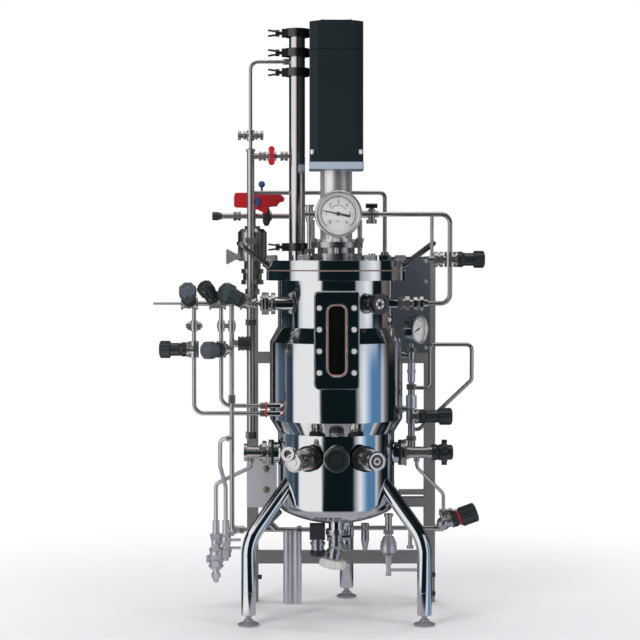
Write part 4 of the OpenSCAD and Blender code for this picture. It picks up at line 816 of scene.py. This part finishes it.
high_surround = (
    (-180, "black"), (-152, "black"), (-148, "umber"), (-142, "black"), (-118, "navy"), (-82, "black"),
    (-78, "black"), (-74, "pale"), (-64, "white"), (-30, "white"), (-26, "black"), (35, "black"), (38, "lavender"),
    (50, "pale"), (60, "white"), (70, "pale"), (74, "black"), (97, "black"), (101, "umber"), (124, "smoke"),
    (130, "lavender"), (135, "black"), (180, "black"))
top_surround = (
    (-180, "black"), (-152, "black"), (-147, "umber"), (-142, "black"), (-98, "black"), (-90, "pale"), (-82, "white"),
    (-30, "white"), (-22, "pale"), (-8, "smoke"), (6, "black"),
    (100, "black"), (122, "smoke"), (144, "umber"), (152, "black"), (180, "black"))

# all in metres; the pairs are heights or distances between which one look blends into the next
SURROUND_RADIUS, SURROUND_HEIGHT = 1.15, 2.4
LOW_TO_HIGH, HIGH_TO_TOP, TOP_TO_DARK = (0.36, 0.5), (0.7, 0.78), (1.3, 1.42)
TABLE_TO_WALL = (0.2, 0.34)     # how far from the middle the surround's own floor darkens
PAINT_TO_GLOW = (0.42, 1.15)    # how far from the middle the floor turns white
FLOOR_SIZE = 30
CAMERA_AT, CAMERA_AIM = (-0.028, -3.08, 0.618), (-0.028, 0, 0.515)

# name, place, what it points at, width and height, and power in watts
lamps = (
    ("key", (-1.5, -2.1, 1.9), (0, 0, 0.55), 1.1, 1.8, 46),
    ("fill", (2.3, -1.6, 1.2), (0, 0, 0.5), 0.7, 2.2, 30),
    ("top", (0.2, 0.2, 3.2), (0, 0, 0.4), 2.2, 2.2, 42),
    ("left_strip", (-2.6, 0.7, 0.9), (0, 0, 0.5), 0.5, 2.2, 26),
    ("right_strip", (2.2, 1.9, 1.1), (0, 0, 0.5), 0.6, 2.2, 26),
    ("back", (-0.8, 2.8, 1.6), (0, 0, 0.5), 1.2, 1.6, 26),
)


def linked(name, work):
    """A new object in the scene, made from a worked mesh."""
    thing = bpy.data.objects.new(name, bpy.data.meshes.new(name))
    work.to_mesh(thing.data)
    work.free()
    bpy.context.scene.collection.objects.link(thing)
    return thing


def aim(holder, place, target):
    """Puts a lamp or a camera at a place, and points it at a target."""
    holder.location = place
    holder.rotation_euler = (Vector(target) - Vector(place)).to_track_quat("-Z", "Y").to_euler()
    bpy.context.scene.collection.objects.link(holder)


def surround():
    """A round wall with tall soft-edged panels, which only metal and gloss mirror."""
    work = bmesh.new()
    steps = 96
    rim = []
    for i in range(steps):
        a = 2 * math.pi * i / steps
        x, y = SURROUND_RADIUS * math.sin(a), -SURROUND_RADIUS * math.cos(a)
        rim.append((work.verts.new((x, y, 0)), work.verts.new((x, y, SURROUND_HEIGHT))))
    middle = work.verts.new((0, 0, 0))
    for i in range(steps):
        (a, b), (c, d) = rim[i - 1], rim[i]
        work.faces.new((a, b, d, c))
        work.faces.new((middle, c, a))
    work.transform(Matrix.Translation((0, 0, 0.0004)))  # just clear of the floor
    wall = linked("surround", work)
    f = Finish("surround_cloth", Base_Color=(0, 0, 0, 1), Specular_IOR_Level=0.0, Emission_Strength=1.0)
    x, y, z = (f.part(f.here(), axis) for axis in "XYZ")
    turn = f.add("ShaderNodeMath", {"operation": "ARCTAN2"}, x, -1 * y) / (2 * math.pi) + 0.5
    low, high, top = (
        f.add("ShaderNodeValToRGB", {"stops": [(0.5 + a / 360, shades[shade]) for a, shade in band]}, turn)
        for band in (low_surround, high_surround, top_surround))
    panels = f.tint(z.above(*HIGH_TO_TOP), f.tint(z.above(*LOW_TO_HIGH), low, high), top)
    walls = f.tint(z.above(*TOP_TO_DARK), panels, shades["black"])
    f.feed(Emission_Color=f.tint(f.reach().above(*TABLE_TO_WALL), shades["table"], walls))
    wall.data.materials.append(f.material)
    wall.visible_camera = wall.visible_diffuse = wall.visible_shadow = False
    wall.visible_transmission = wall.visible_volume_scatter = False


def studio():
    """A plain pale floor, soft lamps, and an even pale world."""
    scene = bpy.context.scene
    scene.view_settings.view_transform = "Standard"
    work = bmesh.new()
    bmesh.ops.create_grid(work, x_segments=2, y_segments=2, size=FLOOR_SIZE)
    floor = linked("floor", work)
    f = Finish("floor_paint", Roughness=0.9, Specular_IOR_Level=0.0)
    f.feed(Base_Color=f.tint(f.noise(1.5, detail=2.0), (0.55, 0.55, 0.56), (0.6, 0.6, 0.61)))
    paint = Wire(f, f.shader.outputs[0])
    glow = f.add("ShaderNodeEmission", {}, Color=(1, 1, 1, 1), Strength=1.0)
    blend = f.add("ShaderNodeMixShader", {}, f.seen_rays() * f.reach().above(*PAINT_TO_GLOW), paint, glow)
    f.tree.links.new(blend.socket, f.tree.nodes["Material Output"].inputs[0])
    floor.data.materials.append(f.material)

    world = bpy.data.worlds.new("studio")
    world.use_nodes = True
    scene.world = world
    w = Shading(world.node_tree)
    height = w.part(w.add("ShaderNodeTexCoord", out="Generated"), "Z")
    dome = w.tint(height.above(-0.2, 0.6), (0.38, 0.39, 0.41), (0.56, 0.57, 0.58))
    sky = w.tint(w.seen_rays(), dome, (1, 1, 1))
    w.tree.links.new(sky.socket, w.tree.nodes["Background"].inputs["Color"])

    for name, place, target, width, height, power in lamps:
        lamp = bpy.data.lights.new(name, "AREA")
        lamp.shape, lamp.size, lamp.size_y, lamp.energy = "RECTANGLE", width, height, power
        holder = bpy.data.objects.new(name, lamp)
        holder.visible_glossy = False
        aim(holder, place, target)

    surround()

    camera = bpy.data.cameras.new("camera")
    camera.lens = 100
    scene.camera = bpy.data.objects.new("camera", camera)
    aim(scene.camera, CAMERA_AT, CAMERA_AIM)


studio()
